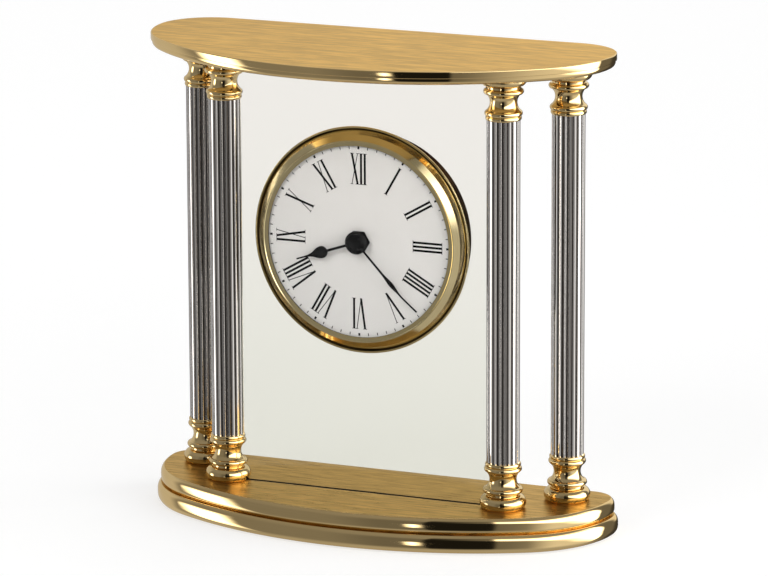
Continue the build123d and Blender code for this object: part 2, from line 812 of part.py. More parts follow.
# Step motor: a stator plate that loops from the rotor through the coil
stator_hole = magnet_radius + stator_gap
stator_ring = stator_hole + stator_ring_width
core_left = stator_bar / 2 + core_margin - case_inner
core_height = rotor_at[1] + stator_ring + coil_gap + coil_radius
arm_height = set_pinion_at[1] + set_shaft_radius + stator_arm_gap + stator_bar / 2
core_middle = (core_left + rotor_at[0]) / 2
core_length = rotor_at[0] - core_left + stator_bar
leg_length = core_height - arm_height + stator_bar
leg_middle = (core_height + arm_height) / 2

with BuildPart() as stator:
    with BuildSketch(facing(stator_layer)):
        with Locations((core_middle, core_height), (core_middle, arm_height)):
            Rectangle(core_length, stator_bar)
        with Locations((core_left, leg_middle), (rotor_at[0], leg_middle)):
            Rectangle(stator_bar, leg_length)
        with Locations(rotor_at):
            Circle(stator_ring)
            Circle(stator_hole, mode=Mode.SUBTRACT)
    extrude(amount=-stator_thickness)
save(stator, "stator")

coil_length = core_length - 2 * (stator_bar + coil_end_gap)
coil_bore = hypot(stator_bar, stator_thickness) / 2 + coil_bore_clearance
coil_middle_y = movement_y + stator_layer + stator_thickness / 2
with BuildPart() as coil:
    with BuildSketch(Plane((core_middle, coil_middle_y, hub_z + core_height), z_dir=(1, 0, 0))):
        Circle(coil_radius)
        Circle(coil_bore, mode=Mode.SUBTRACT)
    extrude(amount=coil_length / 2, both=True)
save(coil, "coil")

# Circuit board, with a hole for the set shaft, and the quartz crystal under it
board_left = board_room - case_inner
board_right = rotor_at[0] - stator_ring - board_room
board_bottom = board_room - train_drop
board_top = core_height - coil_radius - board_room
with BuildPart() as circuit_board:
    with BuildSketch(facing(board_layer)):
        with Locations(((board_left + board_right) / 2, (board_bottom + board_top) / 2)):
            Rectangle(board_right - board_left, board_top - board_bottom)
        with Locations(set_pinion_at):
            Circle(set_shaft_radius + set_knob_clearance, mode=Mode.SUBTRACT)
    extrude(amount=-board_thickness)
save(circuit_board, "circuit_board")

crystal_start = board_left + crystal_inset
crystal_y = movement_y + board_layer - crystal_radius
with BuildPart() as quartz_crystal:
    with BuildSketch(Plane((crystal_start, crystal_y, hub_z), z_dir=(1, 0, 0))):
        Circle(crystal_radius)
    extrude(amount=crystal_length)
save(quartz_crystal, "quartz_crystal")

# Movement case with its battery bay, posts and screw bosses, and the cover behind it
boss_reach = case_inner - boss_radius + boss_sink
screw_spots = [(-boss_reach, boss_reach), (boss_reach, boss_reach),
               (-boss_reach, -cell_drop), (boss_reach, -cell_drop)]
stator_posts = [(core_left, leg_middle), (rotor_at[0], core_height)]
board_post = (board_left + board_post_inset, board_bottom + board_post_inset)
board_posts = [board_post, (board_post[0] + board_post_spacing, board_post[1])]
pivots = [third_at, fourth_at, intermediate_at, rotor_at]
case_screw_hole = case_screw_radius + thread_clearance
pivot_hole = staff_radius + running_clearance

with BuildPart() as movement_case:
    with BuildSketch(facing(0)):
        RectangleRounded(2 * case_half, 2 * case_half, case_corner)
    extrude(amount=-case_depth)
    with BuildSketch(facing(case_wall)):
        with Locations((0, (case_inner - train_drop) / 2)):
            Rectangle(2 * case_inner, case_inner + train_drop)
        with Locations((0, -cell_drop)):
            Rectangle(2 * bay_half_length, 2 * bay_half_height)
    extrude(amount=case_wall - case_depth, mode=Mode.SUBTRACT)
    for spot in screw_spots:
        rod(boss_radius, case_wall, case_depth, spot)
        rod(case_screw_hole, case_depth - case_screw_bite - hole_bottom_gap, case_depth, spot,
            Mode.SUBTRACT)
    for spot in stator_posts:
        rod(post_radius, case_wall, stator_layer, spot)
    for spot in board_posts:
        rod(post_radius, case_wall, board_layer, spot)
    rod(stud_radius, case_wall, minute_end + pivot_depth, minute_wheel_at)
    rod(bushing_hole, 0, case_wall, hub, Mode.SUBTRACT)
    for spot in pivots + [set_pinion_at]:
        rod(pivot_hole, pivot_start - hole_bottom_gap, case_wall, spot, Mode.SUBTRACT)
save(movement_case, "movement_case")

with BuildPart() as movement_cover:
    with BuildSketch(facing(case_depth)):
        RectangleRounded(2 * case_half, 2 * case_half, case_corner)
        with Locations((0, -cell_drop)):
            Rectangle(2 * bay_half_length, 2 * bay_half_height, mode=Mode.SUBTRACT)
    extrude(amount=-cover_thickness)
    for spot in pivots:
        rod(pivot_hole, case_depth, pivot_end + hole_bottom_gap, spot, Mode.SUBTRACT)
    rod(spindle_radius + running_clearance, case_depth, pivot_end + hole_bottom_gap, hub, Mode.SUBTRACT)
    rod(set_shaft_radius + running_clearance, case_depth, cover_end, set_pinion_at, Mode.SUBTRACT)
    for spot in screw_spots:
        rod(case_screw_hole, case_depth, cover_end, spot, Mode.SUBTRACT)
save(movement_cover, "movement_cover")

with BuildPart() as movement_screws:
    for spot in screw_spots:
        rod(case_screw_radius, case_depth - case_screw_bite, cover_end, spot)
        rod(case_screw_head_radius, cover_end, cover_end + case_screw_head_height, spot)
save(movement_screws, "movement_screws")

# Battery cell between its two contacts
cell_y = movement_y + case_wall + cell_clearance + cell_radius
with BuildPart() as battery_cell:
    with BuildSketch(Plane((0, cell_y, hub_z - cell_drop), z_dir=(1, 0, 0))):
        Circle(cell_radius)
    extrude(amount=cell_length / 2, both=True)
save(battery_cell, "battery_cell")


def battery_contact(name, side):
    """Plated plate against one end wall of the battery bay."""
    with BuildPart() as contact:
        with BuildSketch(facing(case_wall)):
            with Locations((side * (bay_half_length - contact_thickness / 2), -cell_drop)):
                Rectangle(contact_thickness, 2 * bay_half_height)
        extrude(amount=case_wall - case_depth)
    save(contact, name)


battery_contact("battery_contact_positive", 1)
battery_contact("battery_contact_negative", -1)

# Snap-in back of the drum, open at the battery bay and round the set knob
with BuildPart() as case_back:
    with BuildSketch(facing(back_layer)):
        Circle(drum_bore - back_clearance)
        with Locations((0, -cell_drop)):
            Rectangle(2 * bay_half_length, 2 * bay_half_height, mode=Mode.SUBTRACT)
        with Locations(set_pinion_at):
            Circle(set_knob_radius + set_knob_clearance, mode=Mode.SUBTRACT)
    extrude(amount=-back_thickness)
save(case_back, "case_back")

# Bushing that clamps the movement to the dial, and its thin nut
with BuildPart() as threaded_bushing:
    rod(bushing_radius, bushing_front, case_wall)
    rod(bushing_radius + bushing_flange_width, case_wall, case_wall + bushing_flange_thickness)
    rod(pipe_radius + running_clearance, bushing_front, case_wall + bushing_flange_thickness, hub,
        Mode.SUBTRACT)
save(threaded_bushing, "threaded_bushing")

with BuildPart() as dial_nut:
    with BuildSketch(facing(-dial_thickness)):
        RegularPolygon(bushing_radius + dial_nut_wall, 6, major_radius=False)
        Circle(bushing_hole, mode=Mode.SUBTRACT)
    extrude(amount=dial_nut_height)
save(dial_nut, "dial_nut")


# Hands: thin blades with a round hub, turned clockwise from twelve
def hand_face(angle, depth):
    """Plane of a hand, with the hand's length along Y and its front facing the front."""
    across = (cos(radians(angle)), 0, -sin(radians(angle)))
    return Plane(facing(depth).origin, x_dir=across, z_dir=(0, -1, 0))


hour_bore = pipe_radius + hand_fit
hour_length = dial_radius - hour_tip_margin
belly_start = hour_belly_reach - sqrt(hour_belly_radius**2 - hour_stem_half_width**2)
belly_slant = hour_belly_radius / sqrt(2)

with BuildPart() as hour_hand:
    with BuildSketch(hand_face(hour_hand_angle, hour_hand_rear)):
        with BuildLine():
            Polyline((0, 0), (hour_stem_half_width, 0), (hour_stem_half_width, belly_start))
            ThreePointArc((hour_stem_half_width, belly_start), (belly_slant, hour_belly_reach - belly_slant),
                          (hour_belly_radius, hour_belly_reach))
            Spline((hour_belly_radius, hour_belly_reach), (hour_waist_half_width, hour_waist_reach),
                   (hand_tip_half_width, hour_neck_reach), tangents=((0, 1), (0, 1)))
            Polyline((hand_tip_half_width, hour_neck_reach), (hand_tip_half_width, hour_length),
                     (0, hour_length))
            mirror(about=Plane.YZ)
        make_face()
        Circle(hour_bore + hand_hub_wall)
        Circle(hour_bore, mode=Mode.SUBTRACT)
    extrude(amount=hand_thickness)
save(hour_hand, "hour_hand")

minute_bore = arbor_radius + hand_fit
minute_length = dial_radius - minute_tip_margin
minute_face = hand_face(minute_hand_angle, minute_hand_rear)
minute_side = Plane(minute_face.origin, x_dir=minute_face.y_dir, z_dir=minute_face.x_dir)

with BuildPart() as minute_hand:
    with BuildSketch(minute_face.offset(-minute_tip_drop)):
        with BuildLine():
            Polyline((0, 0), (minute_stem_half_width, 0), (minute_stem_half_width, minute_stem_reach))
            Spline((minute_stem_half_width, minute_stem_reach), (minute_leaf_half_width, minute_leaf_reach),
                   (hand_tip_half_width, minute_neck_reach), tangents=((0, 1), (0, 1)))
            Polyline((hand_tip_half_width, minute_neck_reach), (hand_tip_half_width, minute_length),
                     (0, minute_length))
            mirror(about=Plane.YZ)
        make_face()
        Circle(minute_bore + hand_hub_wall)
        Circle(minute_bore, mode=Mode.SUBTRACT)
    extrude(amount=minute_tip_drop + hand_thickness)
    with BuildSketch(minute_side):
        with BuildLine():
            Polyline((-minute_length, 0), (minute_bend_reach, 0), (minute_length, -minute_tip_drop),
                     (minute_length, hand_thickness - minute_tip_drop), (minute_bend_reach, hand_thickness),
                     (-minute_length, hand_thickness), close=True)
        make_face()
    extrude(amount=minute_length, both=True, mode=Mode.INTERSECT)
save(minute_hand, "minute_hand")

with BuildPart() as hand_cap:
    with BuildSketch(facing(minute_hand_front)):
        Circle(cap_radius)
    extrude(amount=cap_height)
    fillet(hand_cap.faces().sort_by(Axis.Y)[0].edges(), cap_round)
    rod(arbor_radius + hand_fit, arbor_front, minute_hand_front, hub, Mode.SUBTRACT)
save(hand_cap, "hand_cap")

print("overall", round(max(top_width, base_width), 2), round(top_depth, 2), round(plate_z + top_thickness, 2))
print("deck", round(deck_z, 2), "hub", round(hub_z, 2), "dial face", round(dial_y, 2))
print("drum", round(drum_radius, 2), "bezel", round(bezel_radius, 2), "dial", round(dial_radius, 2))
print("case half", round(case_half, 2), "case depth", round(case_depth, 2))
print("drum length", round(drum_length, 2), "knob end", round(knob_end, 2))
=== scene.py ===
import json
from math import acos, atan2, cos, hypot, pi, radians, sin, sqrt, tau

import bmesh
import bpy
from mathutils import Matrix, Vector


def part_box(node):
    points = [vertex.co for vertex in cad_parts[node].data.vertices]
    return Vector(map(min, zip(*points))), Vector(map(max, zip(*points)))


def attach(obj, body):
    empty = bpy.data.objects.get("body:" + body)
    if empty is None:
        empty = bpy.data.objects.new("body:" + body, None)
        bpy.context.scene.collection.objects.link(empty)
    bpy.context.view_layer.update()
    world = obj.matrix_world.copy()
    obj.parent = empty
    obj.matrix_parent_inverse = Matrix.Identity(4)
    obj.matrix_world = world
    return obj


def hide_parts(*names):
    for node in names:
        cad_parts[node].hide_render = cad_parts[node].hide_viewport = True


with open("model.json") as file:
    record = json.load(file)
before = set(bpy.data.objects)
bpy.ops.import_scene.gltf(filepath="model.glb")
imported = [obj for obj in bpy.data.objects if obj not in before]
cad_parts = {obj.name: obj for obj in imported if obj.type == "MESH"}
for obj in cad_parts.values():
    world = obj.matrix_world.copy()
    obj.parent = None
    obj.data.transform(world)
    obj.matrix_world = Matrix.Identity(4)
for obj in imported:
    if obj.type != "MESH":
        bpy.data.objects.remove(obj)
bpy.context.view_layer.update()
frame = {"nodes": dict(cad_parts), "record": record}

mm = 0.001                      # pieces are modelled in millimetres and finished in metres
weld = 0.0005                   # points nearer than this are one point
flatLimit = 0.99                # a face is flat when its normal is at least this upright
creaseAngle = 32                # degrees, edges bent more than this are sharp
noBounce = 0.5                  # bounces are whole numbers, so fewer than this is none
upward = (0, 0, 1)


def nodeBox(name):              # lowest and highest corner of a CAD node, in millimetres
    low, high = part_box(name)
    return low / mm, high / mm


def putInScene(thing):
    bpy.context.scene.collection.objects.link(thing)


# Camera, at the photograph's viewing angle
cameraView = {
    "azimuth": 22.74,
    "elevation": 13.33,
    "roll": -0.23,
    "place": (0.7419, -1.7493, 0.54521),
    "lens": 239.0,
    "sensor": 36.0,
    "clip": (0.05, 50.0),
}


def setCamera(view):
    eye = bpy.data.objects.new("camera", bpy.data.cameras.new("camera"))
    eye.data.sensor_width = view["sensor"]
    eye.data.lens = view["lens"]
    eye.data.clip_start, eye.data.clip_end = view["clip"]
    turn = Matrix.Rotation(radians(view["azimuth"]), 4, "Z")
    tilt = Matrix.Rotation(pi / 2 - radians(view["elevation"]), 4, "X")
    roll = Matrix.Rotation(radians(view["roll"]), 4, "Z")
    eye.matrix_world = Matrix.Translation(view["place"]) @ turn @ tilt @ roll
    putInScene(eye)
    bpy.context.scene.camera = eye


setCamera(cameraView)
bpy.context.scene.view_settings.view_transform = "Standard"
print("camera set")


# Shader writing: Wire lets shader maths read as sums, Board adds the nodes
class Wire:
    def __init__(self, board, socket):
        self.board = board
        self.socket = socket

    def __add__(self, other):
        return self.board.sums("ADD", self, other)

    def __radd__(self, other):
        return self.board.sums("ADD", other, self)

    def __sub__(self, other):
        return self.board.sums("SUBTRACT", self, other)

    def __rsub__(self, other):
        return self.board.sums("SUBTRACT", other, self)

    def __mul__(self, other):
        return self.board.sums("MULTIPLY", self, other)

    def __rmul__(self, other):
        return self.board.sums("MULTIPLY", other, self)


class Board:
    def __init__(self, tree):
        self.tree = tree
        tree.nodes.clear()

    def node(self, kind, settings=None, sockets=None, give=0):
        made = self.tree.nodes.new(kind)
        for name, value in (settings or {}).items():
            setattr(made, name, value)
        for name, value in (sockets or {}).items():
            if isinstance(value, Wire):
                self.tree.links.new(value.socket, made.inputs[name])
            else:
                made.inputs[name].default_value = value
        return Wire(self, made.outputs[give]) if len(made.outputs) else made

    def sums(self, operation, first, second):
        return self.node("ShaderNodeMath", {"operation": operation}, {0: first, 1: second})

    def ease(self, value, low, high):            # 0 below low, 1 above high, smooth between
        return self.node("ShaderNodeMapRange", {"interpolation_type": "SMOOTHSTEP"},
                         {"Value": value, "From Min": low, "From Max": high})

    def window(self, value, low, high, soft):    # 1 between low and high, with soft ends
        return self.ease(value, low - soft, low + soft) - self.ease(value, high - soft, high + soft)

    def grain(self, scale, kind):                # noise on the piece's own coordinates
        detail, rough = noise[kind]
        place = self.node("ShaderNodeTexCoord", give="Object")
        spread = self.node("ShaderNodeMapping", None, {"Vector": place, "Scale": scale})
        return self.node("ShaderNodeTexNoise", None,
                         {"Vector": spread, "Scale": 1.0, "Detail": detail, "Roughness": rough})

    def tint(self, amount, first, second):       # colour between two colours
        return self.node("ShaderNodeMix", {"data_type": "RGBA"},
                         {0: amount, 6: (*first, 1.0), 7: (*second, 1.0)}, give=2)

    def relief(self, height, depth):             # bump of a depth in metres
        return self.node("ShaderNodeBump", None, {"Height": height, "Distance": depth, "Strength": 1.0})

    def direct(self):                            # 1 where the eye looks, also through the glass
        camera = self.node("ShaderNodeLightPath", give="Is Camera Ray")
        through = self.node("ShaderNodeLightPath", give="Is Transmission Ray")
        glossy = self.node("ShaderNodeLightPath", give="Glossy Depth")
        diffuse = self.node("ShaderNodeLightPath", give="Diffuse Depth")
        straight = self.sums("LESS_THAN", glossy + diffuse, noBounce)
        return self.sums("MAXIMUM", camera, through * straight)

    def surface(self, **sockets):                # Principled shader, sockets named by their words
        return self.node("ShaderNodeBsdfPrincipled", None,
                         {principledNames[key]: value for key, value in sockets.items()})


principledNames = {
    "colour": "Base Color",
    "metal": "Metallic",
    "rough": "Roughness",
    "normal": "Normal",
    "coat": "Coat Weight",
    "coatRough": "Coat Roughness",
    "clear": "Transmission Weight",
    "ior": "IOR",
    "sheen": "Sheen Weight",
    "edge": "Specular Tint",
    "shine": "Specular IOR Level",
}
noise = {                       # detail and roughness of each kind of noise
    "streak": (4.0, 0.6),
    "fine": (3.0, 0.6),
    "cloud": (2.0, 0.5),
    "nap": (5.0, 0.7),
}
stretch = {                     # the part of a noise's range that is spread over 0 to 1
    "streak": (0.28, 0.72),
    "cloud": (0.3, 0.7),
    "smear": (0.4, 0.8),
}
plainLook = {                   # what a finish has where its own look doesn't say
    "edge": (1.0, 1.0, 1.0),
    "coat": 0.0,
    "coatRough": 0.1,
    "shine": 0.5,
}


def makeFinish(name, build, look):
    finish = bpy.data.materials.new(name)
    finish.use_nodes = True
    board = Board(finish.node_tree)
    shader = build(board, {**plainLook, **look})
    board.node("ShaderNodeOutputMaterial", None, {"Surface": shader})
    return finish


def metalFinish(board, look):                    # metal with streaks along one direction
    streak = board.ease(board.grain(look["streaks"], "streak"), *stretch["streak"])
    cloud = board.ease(board.grain(look["clouds"], "cloud"), *stretch["cloud"])
    mixed = streak * look["streakShare"] + cloud * (1 - look["streakShare"])
    return board.surface(
        colour=board.tint(mixed, look["deep"], look["pale"]),
        metal=1.0,
        rough=mixed * look["roughSwing"] + look["rough"],
        normal=board.relief(streak, look["relief"]),
        edge=(*look["edge"], 1.0),
    )


def shadedShaftFinish(board, look):                    # plate with near-black painted shade on the floors of the flutes
    place = board.node("ShaderNodeTexCoord", give="Object")
    centred = board.node("ShaderNodeMapping", None, {"Vector": place, "Location": look["centre"]})
    level = board.node("ShaderNodeVectorMath", {"operation": "MULTIPLY"}, {0: centred, 1: (1, 1, 0)})
    reach = board.node("ShaderNodeVectorMath", {"operation": "LENGTH"}, {0: level}, give="Value")
    land = board.ease(reach, look["floor"], look["lip"])
    wear = board.ease(board.grain(look["wear"], "fine"), *stretch["cloud"])
    return board.surface(
        colour=board.tint(land, look["deep"], look["pale"]),
        metal=1.0,
        rough=wear * look["roughSwing"] + look["rough"],
    )


def paintFinish(board, look):                    # paint, plastic, rubber: a skin with a fine grain
    fine = board.grain((look["grain"],) * 3, "fine")
    cloud = board.grain((look["cloud"],) * 3, "cloud")
    return board.surface(
        colour=board.tint(cloud, look["deep"], look["pale"]),
        rough=cloud * look["roughSwing"] + look["rough"],
        normal=board.relief(fine, look["relief"]),
        coat=look["coat"],
        coatRough=look["coatRough"],
        shine=look["shine"],
    )


def glassFinish(board, look):                    # clear glass that lets the lamps' light through
    smear = board.grain((look["smear"],) * 3, "cloud")
    place = board.node("ShaderNodeTexCoord", give="Object")
    height = board.node("ShaderNodeSeparateXYZ", None, {"Vector": place}, give="Z")
    body = board.surface(
        colour=board.tint(board.ease(height, *look["fade"]), look["low"], look["high"]),
        rough=board.ease(smear, *stretch["smear"]) * look["smearRough"],
        clear=1.0,
        ior=look["ior"],
    )
    path = board.node("ShaderNodeLightPath", give="Is Shadow Ray")
    bare = board.node("ShaderNodeBsdfTransparent", None, {"Color": (*look["high"], 1.0)})
    return board.node("ShaderNodeMixShader", None, {0: path, 1: body, 2: bare})


def feltFinish(board, look):                     # pressed felt, a nap over soft clouds
    nap = board.grain((look["nap"],) * 3, "nap")
    cloud = board.grain((look["cloud"],) * 3, "cloud")
    mixed = nap * look["napShare"] + cloud * (1 - look["napShare"])
    return board.surface(
        colour=board.tint(mixed, look["deep"], look["pale"]),
        rough=look["rough"],
        sheen=look["sheen"],
        normal=board.relief(nap, look["relief"]),
    )


finishes = {
    "brushedBrass": (metalFinish, {
        "deep": (0.53, 0.33, 0.10), "pale": (0.97, 0.645, 0.235), "edge": (0.92, 0.79, 0.55),
        "streaks": (75, 720, 720), "clouds": (14, 40, 40), "streakShare": 0.92, "rough": 0.28,
        "roughSwing": 0.1, "relief": 0.00002}),
    # darker copy of the brushed brass: painted shade on the base's deck and in the seam between the tiers
    "shadedDeckBrass": (metalFinish, {
        "deep": (0.35, 0.23, 0.085), "pale": (0.78, 0.52, 0.2), "edge": (0.84, 0.72, 0.53),
        "streaks": (75, 720, 720), "clouds": (14, 40, 40), "streakShare": 0.92, "rough": 0.26,
        "roughSwing": 0.1, "relief": 0.00002}),
    "polishedBrass": (metalFinish, {
        "deep": (0.80, 0.58, 0.27), "pale": (0.87, 0.64, 0.31), "edge": (0.98, 0.92, 0.8),
        "streaks": (60, 60, 5200), "clouds": (40, 40, 40), "streakShare": 0.5, "rough": 0.03,
        "roughSwing": 0.04, "relief": 0.0000004}),
    "turnedGilt": (metalFinish, {
        "deep": (0.74, 0.54, 0.25), "pale": (0.84, 0.635, 0.325), "edge": (0.98, 0.94, 0.85),
        "streaks": (90, 90, 3200), "clouds": (120, 120, 120), "streakShare": 0.4, "rough": 0.06,
        "roughSwing": 0.05, "relief": 0.000001}),
    "bezelGilt": (metalFinish, {
        "deep": (0.80, 0.65, 0.34), "pale": (0.88, 0.73, 0.41), "edge": (0.98, 0.94, 0.85),
        "streaks": (300, 4200, 300), "clouds": (90, 90, 90), "streakShare": 0.5, "rough": 0.08,
        "roughSwing": 0.05, "relief": 0.000001}),
    "silverPlate": (metalFinish, {
        "deep": (0.78, 0.77, 0.75), "pale": (0.90, 0.89, 0.87), "streaks": (700, 700, 25),
        "clouds": (60, 60, 60), "streakShare": 0.5, "rough": 0.06, "roughSwing": 0.05, "relief": 0.000001}),
    # near-black brass: painted shade on the rear clamp ring and in the bezel's groove
    "paintedShadeBrass": (metalFinish, {
        "deep": (0.02, 0.013, 0.007), "pale": (0.11, 0.07, 0.028), "edge": (0.3, 0.24, 0.16),
        "streaks": (60, 3000, 60), "clouds": (90, 90, 90), "streakShare": 0.6, "rough": 0.28,
        "roughSwing": 0.12, "relief": 0.00001}),
    "zincSteel": (metalFinish, {
        "deep": (0.42, 0.42, 0.41), "pale": (0.62, 0.62, 0.60), "streaks": (900, 900, 900),
        "clouds": (150, 150, 150), "streakShare": 0.5, "rough": 0.3, "roughSwing": 0.15, "relief": 0.00002}),
    "spunAluminium": (metalFinish, {
        "deep": (0.52, 0.52, 0.52), "pale": (0.72, 0.72, 0.71), "streaks": (40, 2400, 40),
        "clouds": (80, 80, 80), "streakShare": 0.7, "rough": 0.28, "roughSwing": 0.12, "relief": 0.00002}),
    "turnedBrass": (metalFinish, {
        "deep": (0.62, 0.44, 0.17), "pale": (0.80, 0.60, 0.26), "streaks": (300, 2600, 300),
        "clouds": (200, 200, 200), "streakShare": 0.6, "rough": 0.2, "roughSwing": 0.1, "relief": 0.00001}),
    "brightNickel": (metalFinish, {
        "deep": (0.60, 0.59, 0.57), "pale": (0.76, 0.75, 0.73), "streaks": (800, 800, 800),
        "clouds": (200, 200, 200), "streakShare": 0.5, "rough": 0.15, "roughSwing": 0.1, "relief": 0.00001}),
    "dialPaint": (paintFinish, {
        "deep": (0.635, 0.62, 0.595), "pale": (0.67, 0.655, 0.63), "grain": 9000, "cloud": 45,
        "rough": 0.42, "roughSwing": 0.1, "relief": 0.000004}),
    "blackPaint": (paintFinish, {
        "deep": (0.003, 0.003, 0.003), "pale": (0.007, 0.007, 0.007), "grain": 6000, "cloud": 200,
        "rough": 0.2, "roughSwing": 0.12, "relief": 0.000004, "shine": 0.15}),
    "capPaint": (paintFinish, {
        "deep": (0.003, 0.003, 0.003), "pale": (0.006, 0.006, 0.006), "grain": 6000, "cloud": 200,
        "rough": 0.12, "roughSwing": 0.05, "relief": 0.000002, "shine": 0.15}),
    "dialInk": (paintFinish, {
        "deep": (0.003, 0.003, 0.003), "pale": (0.007, 0.007, 0.008), "grain": 9000, "cloud": 300,
        "rough": 0.45, "roughSwing": 0.15, "relief": 0.000004, "shine": 0.1}),
    "blackRubber": (paintFinish, {
        "deep": (0.008, 0.008, 0.010), "pale": (0.022, 0.022, 0.026), "grain": 5000, "cloud": 300,
        "rough": 0.55, "roughSwing": 0.2, "relief": 0.00001}),
    "blackPlastic": (paintFinish, {
        "deep": (0.012, 0.012, 0.013), "pale": (0.024, 0.024, 0.025), "grain": 2600, "cloud": 120,
        "rough": 0.38, "roughSwing": 0.15, "relief": 0.00005}),
    "trainPlastic": (paintFinish, {
        "deep": (0.66, 0.62, 0.52), "pale": (0.76, 0.73, 0.64), "grain": 5000, "cloud": 250,
        "rough": 0.3, "roughSwing": 0.1, "relief": 0.00001}),
    "rotorMagnet": (paintFinish, {
        "deep": (0.035, 0.035, 0.04), "pale": (0.08, 0.08, 0.085), "grain": 7000, "cloud": 400,
        "rough": 0.45, "roughSwing": 0.15, "relief": 0.00001}),
    "coilWire": (metalFinish, {
        "deep": (0.30, 0.10, 0.03), "pale": (0.62, 0.25, 0.09), "streaks": (9000, 60, 60),
        "clouds": (300, 300, 300), "streakShare": 0.7, "rough": 0.25, "roughSwing": 0.15, "relief": 0.00004}),
    "boardLaminate": (paintFinish, {
        "deep": (0.01, 0.07, 0.025), "pale": (0.025, 0.13, 0.045), "grain": 5000, "cloud": 500,
        "rough": 0.25, "roughSwing": 0.15, "relief": 0.00001}),
    "cellSleeve": (paintFinish, {
        "deep": (0.012, 0.012, 0.014), "pale": (0.03, 0.03, 0.034), "grain": 3000, "cloud": 150,
        "rough": 0.22, "roughSwing": 0.1, "relief": 0.00001, "coat": 0.4}),
    "clearGlass": (glassFinish, {
        "low": (0.80, 0.80, 0.72), "high": (0.895, 0.87, 0.825), "fade": (0.02, 0.18), "smear": 25,
        "smearRough": 0.015, "ior": 1.45}),
    "lensGlass": (glassFinish, {
        "low": (0.98, 0.98, 0.98), "high": (0.99, 0.985, 0.98), "fade": (0.07, 0.16), "smear": 40,
        "smearRough": 0.02, "ior": 1.1}),
    "greenFelt": (feltFinish, {
        "deep": (0.006, 0.02, 0.010), "pale": (0.022, 0.055, 0.030), "nap": 2600, "cloud": 90,
        "napShare": 0.6, "rough": 0.95, "sheen": 0.4, "relief": 0.0002}),
}
material = {name: makeFinish(name, build, look) for name, (build, look) in finishes.items()}

slotFinish = {
    "gilt_brass": "polishedBrass",
    "silver_plate": "silverPlate",
    "clear_glass": "clearGlass",
    "lens_glass": "lensGlass",
    "dial_paint": "dialPaint",
    "black_paint": "blackPaint",
    "felt": "greenFelt",
    "black_rubber": "blackRubber",
    "zinc_steel": "zincSteel",
    "drum_metal": "spunAluminium",
    "black_plastic": "blackPlastic",
    "train_plastic": "trainPlastic",
    "turned_brass": "turnedBrass",
    "rotor_magnet": "rotorMagnet",
    "coil_wire": "coilWire",
    "board_laminate": "boardLaminate",
    "plated_steel": "brightNickel",
    "cell_sleeve": "cellSleeve",
}
nodeFinish = {                  # nodes that don't look like the rest of their slot
    # the rear clamp ring takes the near-black brass as painted shade
    "rear_clamp_ring": "paintedShadeBrass",
    "dial_nut": "blackPaint",
}
for subpart in frame["record"]["subparts"]:
    node = subpart["node"]
    finishName = nodeFinish.get(node, slotFinish[subpart["material_slot"]])
    for held in frame["nodes"][node].material_slots:
        held.material = material[finishName]
print("finishes made:", len(material))


# Modelling with mesh operators
def vertsOf(parts):
    return [part for part in parts if isinstance(part, bmesh.types.BMVert)]


def swing(bm, vert, centre, axis, angle, steps):          # carries a vertex round an arc
    spun = bmesh.ops.spin(bm, geom=[vert], cent=centre, axis=axis, angle=angle, steps=steps)
    return vertsOf(spun["geom_last"])[0]


def lineTo(bm, vert, place):
    last = bm.verts.new(place)
    bm.edges.new((vert, last))
    return last


def arcTo(bm, vert, via, place, steps):          # arc through two more points
    start = vert.co.copy()
    first = Vector(via) - start
    second = Vector(place) - start
    axis = first.cross(second)
    across = first.length_squared * second - second.length_squared * first
    centre = start + across.cross(axis) / (2 * axis.length_squared)
    near = start - centre
    far = Vector(place) - centre
    axis.normalize()
    angle = atan2(axis.dot(near.cross(far)), near.dot(far)) % tau
    return swing(bm, vert, centre, axis, angle, steps)


def lathe(bm, centre, axis, steps):              # turns the drawn profile into a closed body
    bmesh.ops.spin(bm, geom=bm.verts[:] + bm.edges[:], cent=centre, axis=axis, angle=tau,
                   steps=steps, use_merge=True)
    bmesh.ops.remove_doubles(bm, verts=bm.verts, dist=weld)
    bmesh.ops.recalc_face_normals(bm, faces=bm.faces)


def raised(bm, edges, rise):                     # walls up from a loop of edges, gives the new loop
    grown = bmesh.ops.extrude_edge_only(bm, edges=edges)["geom"]
    bmesh.ops.translate(bm, vec=rise, verts=vertsOf(grown))
    return [part for part in grown if isinstance(part, bmesh.types.BMEdge)]


def rounded(bm, edges, radius, segments):
    bmesh.ops.bevel(bm, geom=edges, offset=radius, offset_type="OFFSET", affect="EDGES",
                    segments=segments, profile=0.5, material=-1)


def finishPiece(bm, name, looks, body, replaced=(), crease=creaseAngle):
    # makes a drawn piece an object in metres, with its finishes, and puts it on its body
    bmesh.ops.scale(bm, vec=(mm, mm, mm), verts=bm.verts)
    mesh = bpy.data.meshes.new(name)
    bm.to_mesh(mesh)
    bm.free()
    for look in looks:
        mesh.materials.append(material[look])
    mesh.shade_smooth()
    mesh.set_sharp_from_angle(angle=radians(crease))
    piece = bpy.data.objects.new(name, mesh)
    putInScene(piece)
    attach(piece, body)
    if replaced:
        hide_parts(*replaced)


